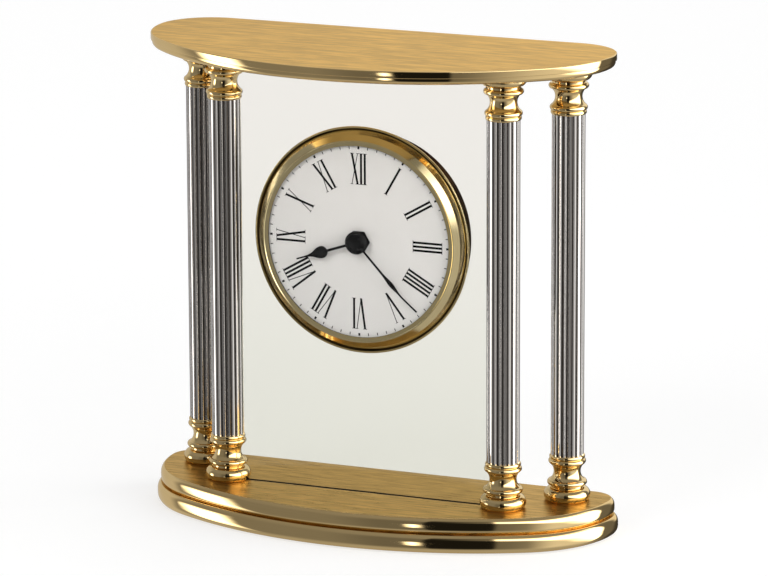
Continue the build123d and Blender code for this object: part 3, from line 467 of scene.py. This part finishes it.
# D-shaped plan of the top and the base: front arc, side arc, back corner, straight back
def planLoop(bm, plan, inset, height):
    before = set(bm.edges)
    front = plan["front"] + inset
    frontRadius = plan["frontRadius"] - inset
    sideRadius = plan["sideRadius"] - inset
    half = plan["half"] - inset
    sideX = half - sideRadius
    drop = sqrt((frontRadius - sideRadius) ** 2 - sideX**2)
    sideY = front + frontRadius - drop
    sweep = atan2(sideX, drop)
    cornerRadius = plan["back"] - inset - sideY
    steps = plan["steps"]
    vert = bm.verts.new((0, front, height))
    vert = swing(bm, vert, (0, front + frontRadius, height), upward, sweep, steps)
    vert = swing(bm, vert, (sideX, sideY, height), upward, pi / 2 - sweep, steps)
    vert = swing(bm, vert, (half - cornerRadius, sideY, height), upward, pi / 2, steps // 2)
    lineTo(bm, vert, (0, plan["back"] - inset, height))
    halfEdges = [edge for edge in bm.edges if edge not in before]
    halfVerts = list(dict.fromkeys(vert for edge in halfEdges for vert in edge.verts))
    bmesh.ops.mirror(bm, geom=halfVerts + halfEdges, matrix=Matrix.Identity(4), merge_dist=weld, axis="X")
    return [edge for edge in bm.edges if edge not in before]


def flatFaces(bm, height, up):                   # faces that lie flat at a height and look up or down
    return [face for face in bm.faces
            if face.normal.z * up > flatLimit and abs(face.calc_center_median().z - height) < weld]


def slotFor(low, high, deep):                    # the slot that holds one of the panel's cushions
    return {
        "half": high.x,
        "middle": (low.y + high.y) / 2,
        "wide": high.y - low.y,
        "deep": deep,
        "draft": 0.01,
    }


def cutSlot(bm, face, slot):                     # a straight slot sunk into one flat face
    sides = [
        ((slot["half"], 0, 0), (1, 0, 0)),
        ((-slot["half"], 0, 0), (-1, 0, 0)),
        ((0, slot["middle"] + slot["wide"] / 2, 0), (0, 1, 0)),
        ((0, slot["middle"] - slot["wide"] / 2, 0), (0, -1, 0)),
    ]
    for place, away in sides:
        cut = bmesh.ops.bisect_plane(bm, geom=[face, *face.edges, *face.verts], plane_co=place, plane_no=away)
        parts = [part for part in cut["geom"] if isinstance(part, bmesh.types.BMFace)]
        face = min(parts, key=lambda part: (part.calc_center_median() - Vector(place)).dot(Vector(away)))
    bmesh.ops.inset_individual(bm, faces=[face], thickness=slot["draft"], depth=-slot["deep"])


def rimFlat(bm, height, up, margin):             # a narrow flat rim keeps the round's shading off the flat
    face = max(flatFaces(bm, height, up), key=lambda part: part.calc_area())
    bmesh.ops.inset_region(bm, faces=[face], thickness=margin, use_even_offset=True)
    return face


def brushTop(bm, height):                        # second finish on the flat top: brushed brass on the top plate, the darker deck brass as painted shade on the base tiers
    for face in flatFaces(bm, height, 1):
        face.material_index = 1


baseLow, baseHigh = nodeBox("base_lower_tier")
deckLow, deckHigh = nodeBox("base_upper_tier")
cushionLow, cushionHigh = nodeBox("glass_cushion_lower")
basePlan = {
    "half": baseHigh.x,
    "front": baseLow.y,
    "back": baseHigh.y,
    "frontRadius": 150.3,
    "sideRadius": 43.0,
    "steps": 40,
    "upperInset": baseHigh.x - deckHigh.x,
    "swellTop": 1.3,
    "swellUnder": 1.2,
    "swellPower": 3,
    "swellSteps": 18,
    "edge": 0.12,
    "edgeSegments": 2,
    "rim": 0.3,
}
deckSlot = slotFor(cushionLow, cushionHigh, deckHigh.z - cushionLow.z)


def tierShell(bm, plan, inset, low, high):       # a wall that swells out towards its middle height
    half = (high - low) / 2
    loops = []
    for step in range(plan["swellSteps"] + 1):
        rise = 2 * step / plan["swellSteps"] - 1
        swell = plan["swellTop"] if rise > 0 else plan["swellUnder"]
        drawn = inset + swell * abs(rise) ** plan["swellPower"]
        loops.append(planLoop(bm, plan, drawn, low + half + half * rise))
    for under, over in zip(loops, loops[1:]):
        bmesh.ops.bridge_loops(bm, edges=under + over)
    bmesh.ops.contextual_create(bm, geom=loops[0])
    bmesh.ops.contextual_create(bm, geom=loops[-1])
    bmesh.ops.recalc_face_normals(bm, faces=bm.faces)
    rounded(bm, loops[-1], plan["edge"], plan["edgeSegments"])


lowerTier = bmesh.new()
tierShell(lowerTier, basePlan, 0, baseLow.z, baseHigh.z)
rimFlat(lowerTier, baseHigh.z, 1, basePlan["rim"])
# the lower tier's flat top, mostly under the upper tier, takes the darker deck brass as painted shade in the
# seam
brushTop(lowerTier, baseHigh.z)
finishPiece(lowerTier, "base_lower_band", ["polishedBrass", "shadedDeckBrass"], "clock_frame",
            ["base_lower_tier"])

upperTier = bmesh.new()
tierShell(upperTier, basePlan, basePlan["upperInset"], deckLow.z, deckHigh.z)
deckFace = rimFlat(upperTier, deckHigh.z, 1, basePlan["rim"])
cutSlot(upperTier, deckFace, deckSlot)
# the deck takes the darker deck brass as painted shade under the top plate
brushTop(upperTier, deckHigh.z)
finishPiece(upperTier, "base_upper_band", ["polishedBrass", "shadedDeckBrass"], "clock_frame",
            ["base_upper_tier"])

topLow, topHigh = nodeBox("top_plate")
upperCushionLow, upperCushionHigh = nodeBox("glass_cushion_upper")
topPlan = {
    "half": topHigh.x,
    "front": topLow.y,
    "back": topHigh.y,
    "frontRadius": 117.2,
    "sideRadius": 41.5,
    "steps": 44,
    "lowerInset": 0.5,
    "lowerHigh": 2.6,
    "roundTop": 0.4,
    "roundUnder": 1.9,
    "roundStep": 0.25,
    "segments": 8,
    "stepSegments": 3,
    "rim": 0.25,
}
plateSlot = slotFor(upperCushionLow, upperCushionHigh, upperCushionHigh.z - topLow.z)


def topShell(bm, plan, low, high):               # a plate with a step round its edge
    step = low + plan["lowerHigh"]
    under = planLoop(bm, plan, plan["lowerInset"], low)
    bmesh.ops.contextual_create(bm, geom=under)
    lowerRim = raised(bm, under, (0, 0, step - low))
    stepRim = planLoop(bm, plan, 0, step)
    bmesh.ops.bridge_loops(bm, edges=lowerRim + stepRim)
    upperRim = raised(bm, stepRim, (0, 0, high - step))
    bmesh.ops.contextual_create(bm, geom=upperRim)
    bmesh.ops.recalc_face_normals(bm, faces=bm.faces)
    for height, radius in ((high, plan["roundTop"]), (low, plan["roundUnder"])):
        rim = [edge for edge in bm.edges if all(abs(vert.co.z - height) < weld for vert in edge.verts)]
        rounded(bm, rim, radius, plan["segments"])
    rounded(bm, [edge for edge in stepRim if edge.is_valid], plan["roundStep"], plan["stepSegments"])


topPlate = bmesh.new()
topShell(topPlate, topPlan, topLow.z, topHigh.z)
rimFlat(topPlate, topHigh.z, 1, topPlan["rim"])
underFace = rimFlat(topPlate, topLow.z, -1, topPlan["rim"])
cutSlot(topPlate, underFace, plateSlot)
brushTop(topPlate, topHigh.z)
finishPiece(topPlate, "top_plate_body", ["polishedBrass", "brushedBrass"], "clock_frame",
            ["top_plate"])
print("base and top made")


# Columns: a turned foot, a fluted shaft and the same turning inverted as a capital
column = {
    "steps": 96,
    "arcSteps": 18,
    "root": 6.6,
    "neck": 6.25,
    "bunSeat": 8.1,
    "bunBelly": (9.0, 1.9),
    "bunTop": 4.9,
    "neckTop": 5.8,
    "bead": 7.7,
    "beadTop": 8.0,
    "throat": 5.2,
    "scotiaTop": 14.2,
    "collar": 7.25,
    "collarTop": 16.3,
    "rim": 6.9,
    "bore": 1.8,
    "shaft": 6.44,
    "flutes": 20,
    "fluteRadius": 0.82,
    "fluteReach": 6.64,
    "fluteSteps": 10,
    "landSteps": 2,
}
# deep is the painted shade on the floors of the flutes, pale the plate on the lands
shaftLook = {
    "deep": (0.06, 0.052, 0.046),
    "pale": (0.93, 0.89, 0.85),
    "floor": 5.84 * mm,
    "lip": 6.15 * mm,
    "wear": (300, 300, 30),
    "rough": 0.03,
    "roughSwing": 0.05,
}


def turnedEnd(place, up, tall):                  # up is 1 for a foot, -1 for a capital
    bm = bmesh.new()

    def at(radius, height):
        return place + Vector((radius, 0, up * height))

    root = column["root"]
    steps = column["arcSteps"]
    vert = bm.verts.new(at(column["bore"], 0))
    vert = lineTo(bm, vert, at(column["bunSeat"], 0))
    vert = arcTo(bm, vert, at(*column["bunBelly"]), at(root, column["bunTop"]), steps)
    vert = lineTo(bm, vert, at(column["neck"], column["bunTop"]))
    vert = lineTo(bm, vert, at(column["neck"], column["neckTop"]))
    vert = lineTo(bm, vert, at(root, column["neckTop"]))
    ridges = [(column["bead"], column["neckTop"], column["beadTop"]),
              (column["throat"], column["beadTop"], column["scotiaTop"]),
              (column["collar"], column["scotiaTop"], column["collarTop"]),
              (column["rim"], column["collarTop"], tall)]
    for radius, foot, head in ridges:
        vert = arcTo(bm, vert, at(radius, (foot + head) / 2), at(root, head), steps)
    lineTo(bm, vert, at(column["bore"], tall))
    lathe(bm, place, upward, column["steps"])
    return bm


def flutedShaft(place, tall):                    # one flute and its lands, spun round and drawn up
    bm = bmesh.new()
    radius = column["shaft"]
    reach = column["fluteReach"]
    hollow = column["fluteRadius"]
    lip = acos((radius**2 + reach**2 - hollow**2) / (2 * radius * reach))    # angle to a flute's edge
    pitch = tau / column["flutes"]

    def at(angle, distance):
        return place + Vector((distance * cos(angle), distance * sin(angle), 0))

    vert = bm.verts.new(at(-pitch / 2, radius))
    vert = swing(bm, vert, place, upward, pitch / 2 - lip, column["landSteps"])
    vert = arcTo(bm, vert, at(0, reach - hollow), at(lip, radius), column["fluteSteps"])
    swing(bm, vert, place, upward, pitch / 2 - lip, column["landSteps"])
    bmesh.ops.spin(bm, geom=bm.verts[:] + bm.edges[:], cent=place, axis=upward, angle=tau,
                   steps=column["flutes"], use_duplicate=True)
    bmesh.ops.remove_doubles(bm, verts=bm.verts, dist=weld)
    foot = bm.edges[:]
    bmesh.ops.contextual_create(bm, geom=foot)
    head = raised(bm, foot, (0, 0, tall))
    bmesh.ops.contextual_create(bm, geom=head)
    bmesh.ops.recalc_face_normals(bm, faces=bm.faces)
    return bm


for corner in ("front_left", "front_right", "back_left", "back_right"):
    rodLow, rodHigh = nodeBox(f"tie_rod_{corner}")
    middle = (rodLow + rodHigh) / 2
    footLow, footHigh = nodeBox(f"column_foot_{corner}")
    capitalLow, capitalHigh = nodeBox(f"column_capital_{corner}")
    tall = footHigh.z - footLow.z
    foot = turnedEnd(Vector((middle.x, middle.y, footLow.z)), 1, tall)
    finishPiece(foot, f"turned_foot_{corner}", ["turnedGilt"], "clock_frame",
                [f"column_foot_{corner}"])
    capital = turnedEnd(Vector((middle.x, middle.y, capitalHigh.z)), -1, tall)
    finishPiece(capital, f"turned_capital_{corner}", ["turnedGilt"], "clock_frame",
                [f"column_capital_{corner}"])
    plate = f"shadedShaftPlate_{corner}"
    axisShift = (-middle.x * mm, -middle.y * mm, 0)
    material[plate] = makeFinish(plate, shadedShaftFinish, {**shaftLook, "centre": axisShift})
    shaft = flutedShaft(Vector((middle.x, middle.y, footHigh.z)), capitalLow.z - footHigh.z)
    finishPiece(shaft, f"fluted_shaft_{corner}", [plate], "clock_frame",
                [f"column_shaft_{corner}"])
print("columns made")


# Clock insert, turned about the axis of the hands
bezelLow, bezelHigh = nodeBox("bezel")
dialLow, dialHigh = nodeBox("dial")
lensLow, lensHigh = nodeBox("lens")
hub = Vector((0, 0, (dialLow.z + dialHigh.z) / 2))
hubAxis = (0, 1, 0)


def hubPoint(radius, depth):
    return hub + Vector((radius, depth, 0))


def hubLines(bm, vert, places):                  # straight lines of a profile, by radius and depth
    for place in places:
        vert = lineTo(bm, vert, hubPoint(*place))
    return vert


bezel = {
    "radius": (bezelHigh.x - bezelLow.x) / 2,
    "rear": bezelHigh.y,
    "front": bezelLow.y,
    "bead": 0.7,
    "beadWide": 0.8,
    "grooveWide": 0.5,
    "grooveRise": 0.15,
    "crest": 39.4,
    "bulge": 0.35,
    "crestWide": 0.3,
    "lip": 37.3,
    "lipDrop": 0.2,
    "lipThick": 0.09,
    "bore": 38.7,
    "steps": 192,
    "beadSteps": 10,
    "crease": 18,
}


def makeBezel(size):
    bm = bmesh.new()
    beadTop = size["rear"] - size["bead"]
    beadRadius = size["beadWide"] / 2
    grooveOut = size["radius"] - size["beadWide"]
    grooveIn = grooveOut - size["grooveWide"]
    floor = size["rear"] - size["grooveRise"]
    slope = beadTop + beadRadius
    facet = ((grooveIn + size["crest"]) / 2 + size["bulge"], (slope + size["front"]) / 2 - size["bulge"])
    crestIn = size["crest"] - size["crestWide"]
    lipFront = size["front"] + size["lipDrop"]
    lipRear = lipFront + size["lipThick"]
    first = bm.verts.new(hubPoint(size["bore"], size["rear"]))
    vert = hubLines(bm, first, [(size["radius"], size["rear"]), (size["radius"], slope)])
    vert = arcTo(bm, vert, hubPoint(size["radius"] - beadRadius, beadTop), hubPoint(grooveOut, slope),
                 size["beadSteps"])
    vert = hubLines(bm, vert, [
        (grooveOut, floor),
        (grooveIn, floor),
        (grooveIn, slope),
        facet,
        (size["crest"], size["front"]),
        (crestIn, size["front"]),
        (crestIn - size["lipDrop"], lipFront),
        (size["lip"], lipFront),
        (size["lip"], lipRear),
        (size["bore"], lipRear),
    ])
    bm.edges.new((vert, first))
    lathe(bm, hub, hubAxis, size["steps"])
    for face in bm.faces:                        # the groove takes the near-black brass as painted shade
        reach = face.calc_center_median() - hub
        if grooveIn - weld < hypot(reach.x, reach.z) < grooveOut + weld and reach.y > slope:
            face.material_index = 1
    return bm


finishPiece(makeBezel(bezel), "bezel_ring", ["bezelGilt", "paintedShadeBrass"], "clock_frame",
            ["bezel"], bezel["crease"])

lens = {
    "radius": (lensHigh.x - lensLow.x) / 2,
    "dome": 37.0,
    "rear": lensHigh.y,
    "thick": 0.8,
    "front": lensLow.y,
    "steps": 128,
    "arcSteps": 28,
}


def makeLens(size):
    bm = bmesh.new()
    seat = size["rear"] - size["thick"]
    rise = seat - size["front"]
    ball = (size["dome"] ** 2 + rise**2) / (2 * rise)
    half = atan2(size["dome"], ball - rise) / 2
    middle = (ball * sin(half), ball * (1 - cos(half)))
    vert = bm.verts.new(hubPoint(0, size["front"]))
    vert = arcTo(bm, vert, hubPoint(middle[0], size["front"] + middle[1]), hubPoint(size["dome"], seat),
                 size["arcSteps"])
    rim = [(size["radius"], seat), (size["radius"], size["rear"]), (size["dome"], size["rear"])]
    vert = hubLines(bm, vert, rim)
    inner = size["front"] + size["thick"]
    arcTo(bm, vert, hubPoint(middle[0], inner + middle[1]), hubPoint(0, inner), size["arcSteps"])
    lathe(bm, hub, hubAxis, size["steps"])
    return bm


finishPiece(makeLens(lens), "lens_dome", ["lensGlass"], "clock_frame", ["lens"])

capLow, capHigh = nodeBox("hand_cap")
cap = {
    "radius": (capHigh.x - capLow.x) / 2,
    "rear": capHigh.y,
    "front": capLow.y,
    "round": 1.35,
    "crown": 0.4,
    "bore": 0.9,
    "steps": 72,
    "arcSteps": 8,
}


def makeCap(size):
    bm = bmesh.new()
    edge = size["radius"] - size["round"]
    shoulder = size["front"] + size["crown"]
    turn = size["round"] * (1 - cos(pi / 4))
    steps = size["arcSteps"]
    vert = bm.verts.new(hubPoint(size["bore"], size["rear"]))
    vert = hubLines(bm, vert, [(size["radius"], size["rear"]), (size["radius"], shoulder + size["round"])])
    vert = arcTo(bm, vert, hubPoint(size["radius"] - turn, shoulder + turn), hubPoint(edge, shoulder), steps)
    arcTo(bm, vert, hubPoint(edge / 2, size["front"] + size["crown"] / 4), hubPoint(0, size["front"]), steps)
    lathe(bm, hub, hubAxis, size["steps"])
    return bm


finishPiece(makeCap(cap), "hand_cap_dome", ["capPaint"], "minute_hand", ["hand_cap"])
print("insert made")


# Printing on the dial: Roman numerals that stand on the centre, hour blocks and minute lines
printing = {
    "face": dialLow.y,
    "sunk": 0.004,
    "proud": 0.03,
    "foot": 22.2,
    "head": 34.3,
    "stroke": 0.86,
    "hair": 0.3,
    "serif": 0.22,
    "reach": 0.4,
    "xHalf": 1.18,
    "vHalf": 1.68,
    "advance": {"I": 0.77, "V": 2.1, "X": 1.83},
    "hairLift": 0.004,          # crossing strokes lie at different heights, so no two faces coincide
    "serifLift": 0.002,
    "track": (35.9, 37.0),
    "minutes": 60,
    "blockEvery": 5,
    "hourBlock": 0.8,
    "minuteLine": 0.34,
}
numerals = ["XII", "I", "II", "III", "IIII", "V", "VI", "VII", "VIII", "IX", "X", "XI"]


def inkPatch(bm, foot, head, wide, lift=0.0):    # one flat patch of ink between two points
    corners = [(foot[0] - wide / 2, foot[1]), (foot[0] + wide / 2, foot[1]),
               (head[0] + wide / 2, head[1]), (head[0] - wide / 2, head[1])]
    verts = [bm.verts.new((across, printing["sunk"] - lift, height)) for across, height in corners]
    bm.faces.new(verts)
    return verts


def serifAt(bm, across, height, inward, wide):   # inward is 1 at a foot, -1 at a head
    reach = wide + 2 * printing["reach"]
    inner = height + inward * printing["serif"]
    return inkPatch(bm, (across, height), (across, inner), reach, printing["serifLift"])


def letter(bm, kind, across):                    # strokes and serifs of one I, V or X
    foot, head = printing["foot"], printing["head"]
    stroke, hair = printing["stroke"], printing["hair"]
    if kind == "I":
        lines = [((across, foot), (across, head), stroke)]
        ends = [(across, foot, 1, stroke), (across, head, -1, stroke)]
    elif kind == "V":
        half = printing["vHalf"]
        lines = [((across, foot), (across - half, head), stroke),
                 ((across, foot), (across + half, head), hair)]
        ends = [(across - half, head, -1, stroke), (across + half, head, -1, hair)]
    else:
        half = printing["xHalf"]
        lines = [((across + half, foot), (across - half, head), stroke),
                 ((across - half, foot), (across + half, head), hair)]
        ends = [(across + half, foot, 1, stroke), (across - half, head, -1, stroke),
                (across - half, foot, 1, hair), (across + half, head, -1, hair)]
    made = []
    for start, stop, wide in lines:
        made += inkPatch(bm, start, stop, wide, printing["hairLift"] if wide == hair else 0.0)
    for end in ends:
        made += serifAt(bm, *end)
    return made


def turnInk(bm, verts, turn):
    bmesh.ops.rotate(bm, cent=(0, 0, 0), matrix=Matrix.Rotation(turn, 3, "Y"), verts=verts)


def raiseInk(bm):                                # gives the flat patches their thickness
    grown = bmesh.ops.extrude_face_region(bm, geom=bm.faces[:])["geom"]
    bmesh.ops.translate(bm, vec=(0, -printing["proud"] - printing["sunk"], 0), verts=vertsOf(grown))
    bmesh.ops.translate(bm, vec=hub + Vector((0, printing["face"], 0)), verts=bm.verts)
    bmesh.ops.recalc_face_normals(bm, faces=bm.faces)


def makeNumerals():
    bm = bmesh.new()
    for hour, numeral in enumerate(numerals):
        advances = [printing["advance"][kind] for kind in numeral]
        across = -sum(advances)
        made = []
        for kind, advance in zip(numeral, advances):
            made += letter(bm, kind, across + advance)
            across += 2 * advance
        turnInk(bm, made, hour * tau / len(numerals))
    raiseInk(bm)
    return bm


def makeTrack():
    bm = bmesh.new()
    inner, outer = printing["track"]
    minutes = printing["minutes"]
    for minute in range(minutes):
        wide = printing["minuteLine"] if minute % printing["blockEvery"] else printing["hourBlock"]
        turnInk(bm, inkPatch(bm, (0, inner), (0, outer), wide), minute * tau / minutes)
    raiseInk(bm)
    return bm


finishPiece(makeNumerals(), "dial_numerals", ["dialInk"], "clock_frame")
finishPiece(makeTrack(), "dial_minute_track", ["dialInk"], "clock_frame")
print("dial printed")


# Felt under the base
feltLow, feltHigh = nodeBox("felt_pad")
feltInset = basePlan["half"] - feltHigh.x
felt = bmesh.new()
feltLoop = planLoop(felt, basePlan, feltInset, feltLow.z)
feltFace = bmesh.ops.contextual_create(felt, geom=feltLoop)["faces"][0]
feltGrown = bmesh.ops.extrude_face_region(felt, geom=[feltFace])["geom"]
bmesh.ops.translate(felt, vec=(0, 0, feltHigh.z - feltLow.z), verts=vertsOf(feltGrown))
bmesh.ops.recalc_face_normals(felt, faces=felt.faces)
finishPiece(felt, "felt_lining", ["greenFelt"], "clock_frame", ["felt_pad"])
print("felt made")


# Floor and studio: bearings are degrees from straight ahead of the dial, rises are heights of a direction
studio = {
    "floorHalf": 4.0,
    "floorColour": (0.8, 0.8, 0.79),
    "floorLift": 0.66,
    "floorShade": (0.42, 0.42, 0.42),
    "front": 0.25,
    "leftWall": (-100, -80, 0.35),          # from, to, level
    "leftBox": (-79, -61, 5, 4.0),          # from, to, softness, level
    "leftRise": (-0.55, 0.1, 0.18),         # lowest, highest, softness
    "frontFall": (-28, -6, 0.08),
    "darkFront": (5.5, 27.4, 1.0, 0.93),
    "darkTop": (0.6, 0.8),
    "spark": (0.6, 3.8, 2.0, 4.0),
    "sparkRise": (-0.32, -0.14, 0.05),
    "rightRise": (27, 72, 0.6),
    "rightBox": (46, 82, 3.6),
    "rightLean": 112,
    "rightStart": (0, 30),
    "rightEnd": (125, 132),
    "rear": (148, 160),
    "rearRise": (-0.08, 0.08),
    "rearLow": 0.06,
    "behind": 0.95,
    "overhead": 0.3,
    "overheadRise": (0.35, 0.75),
    "below": 0.45,
    "belowRise": (-0.85, -0.5),
    "keySize": 1.1,
    "keyPower": 14.0,
    "keyPlace": (-0.7, -1.9, 1.5),
}


def floorFinish(board, look):                    # white with a soft shadow to the eye, pale to the rest
    plain = board.node("ShaderNodeBsdfDiffuse", None, {"Color": (*look["floorColour"], 1.0)})
    shade = board.node("ShaderNodeBsdfDiffuse", None, {"Color": (*look["floorShade"], 1.0)})
    lift = board.node("ShaderNodeEmission", None, {"Strength": look["floorLift"]})
    white = board.node("ShaderNodeAddShader", None, {0: shade, 1: lift})
    return board.node("ShaderNodeMixShader", None, {0: board.direct(), 1: plain, 2: white})


def makeFloor():
    bm = bmesh.new()
    bmesh.ops.create_grid(bm, x_segments=1, y_segments=1, size=studio["floorHalf"])
    mesh = bpy.data.meshes.new("floor")
    bm.to_mesh(mesh)
    bm.free()
    mesh.materials.append(makeFinish("paleFloor", floorFinish, studio))
    floor = bpy.data.objects.new("floor", mesh)
    floor.visible_glossy = False
    putInScene(floor)


def makeWorld():                                 # a room with two soft boxes, a dark opening and a spark
    world = bpy.data.worlds.new("studio")
    bpy.context.scene.world = world
    world.use_nodes = True
    board = Board(world.node_tree)
    way = board.node("ShaderNodeTexCoord", give="Generated")
    toX, toY, toZ = [board.node("ShaderNodeSeparateXYZ", None, {"Vector": way}, give=axis) for axis in "XYZ"]
    bearing = board.sums("ARCTAN2", toX, 0 - toY)
    aside = board.node("ShaderNodeMath", {"operation": "ABSOLUTE"}, {0: bearing})

    def grow(angle, low, high):                  # 0 to 1 between two bearings
        return board.ease(angle, radians(low), radians(high))

    def band(low, high, soft, level):            # a level between two bearings, with soft ends
        return board.window(bearing, radians(low), radians(high), radians(soft)) * level

    def blend(amount, first, second):
        return first * (1 - amount) + second * amount

    leftBox = band(*studio["leftBox"]) * board.window(toZ, *studio["leftRise"])
    low, high, level = studio["leftWall"]
    leftWall = (1 - grow(bearing, low, high)) * level
    low, high, fall = studio["frontFall"]
    frontFall = grow(bearing, low, high) * fall
    low, high, level = studio["rightRise"]
    rightRise = grow(bearing, low, high) * (level + fall)
    low, high, level = studio["rightBox"]
    rightBox = grow(bearing + toZ * radians(studio["rightLean"]), low, high) * level
    rightShare = grow(bearing, *studio["rightStart"]) * (1 - grow(bearing, *studio["rightEnd"]))
    wall = studio["front"] + leftWall + leftBox - frontFall + (rightRise + rightBox) * rightShare
    rear = grow(aside, *studio["rear"])
    rearLevel = blend(board.ease(toZ, *studio["rearRise"]), studio["rearLow"], studio["behind"])
    wall = blend(rear, wall, rearLevel)
    ceiling = blend(rear, studio["overhead"], studio["behind"])
    room = blend(board.ease(toZ, *studio["overheadRise"]), wall, ceiling)
    dark = band(*studio["darkFront"]) * (1 - board.ease(toZ, *studio["darkTop"]))
    spark = band(*studio["spark"]) * board.window(toZ, *studio["sparkRise"])
    room = blend(board.ease(toZ, *studio["belowRise"]), studio["below"], room * (1 - dark) + spark)
    light = board.node("ShaderNodeBackground", None,
                       {"Color": (1.0, 1.0, 1.0, 1.0), "Strength": blend(board.direct(), room, 1.0)})
    board.node("ShaderNodeOutputWorld", None, {"Surface": light})


def makeKey():                                   # broad lamp at the upper left, in front of the dial
    lamp = bpy.data.lights.new("key", "AREA")
    lamp.size = studio["keySize"]
    lamp.energy = studio["keyPower"]
    key = bpy.data.objects.new("key", lamp)
    place = Vector(studio["keyPlace"])
    aim = hub * mm - place
    key.matrix_world = Matrix.Translation(place) @ aim.to_track_quat("-Z", "Y").to_matrix().to_4x4()
    key.visible_glossy = False
    putInScene(key)


makeFloor()
makeWorld()
makeKey()
print("studio made")
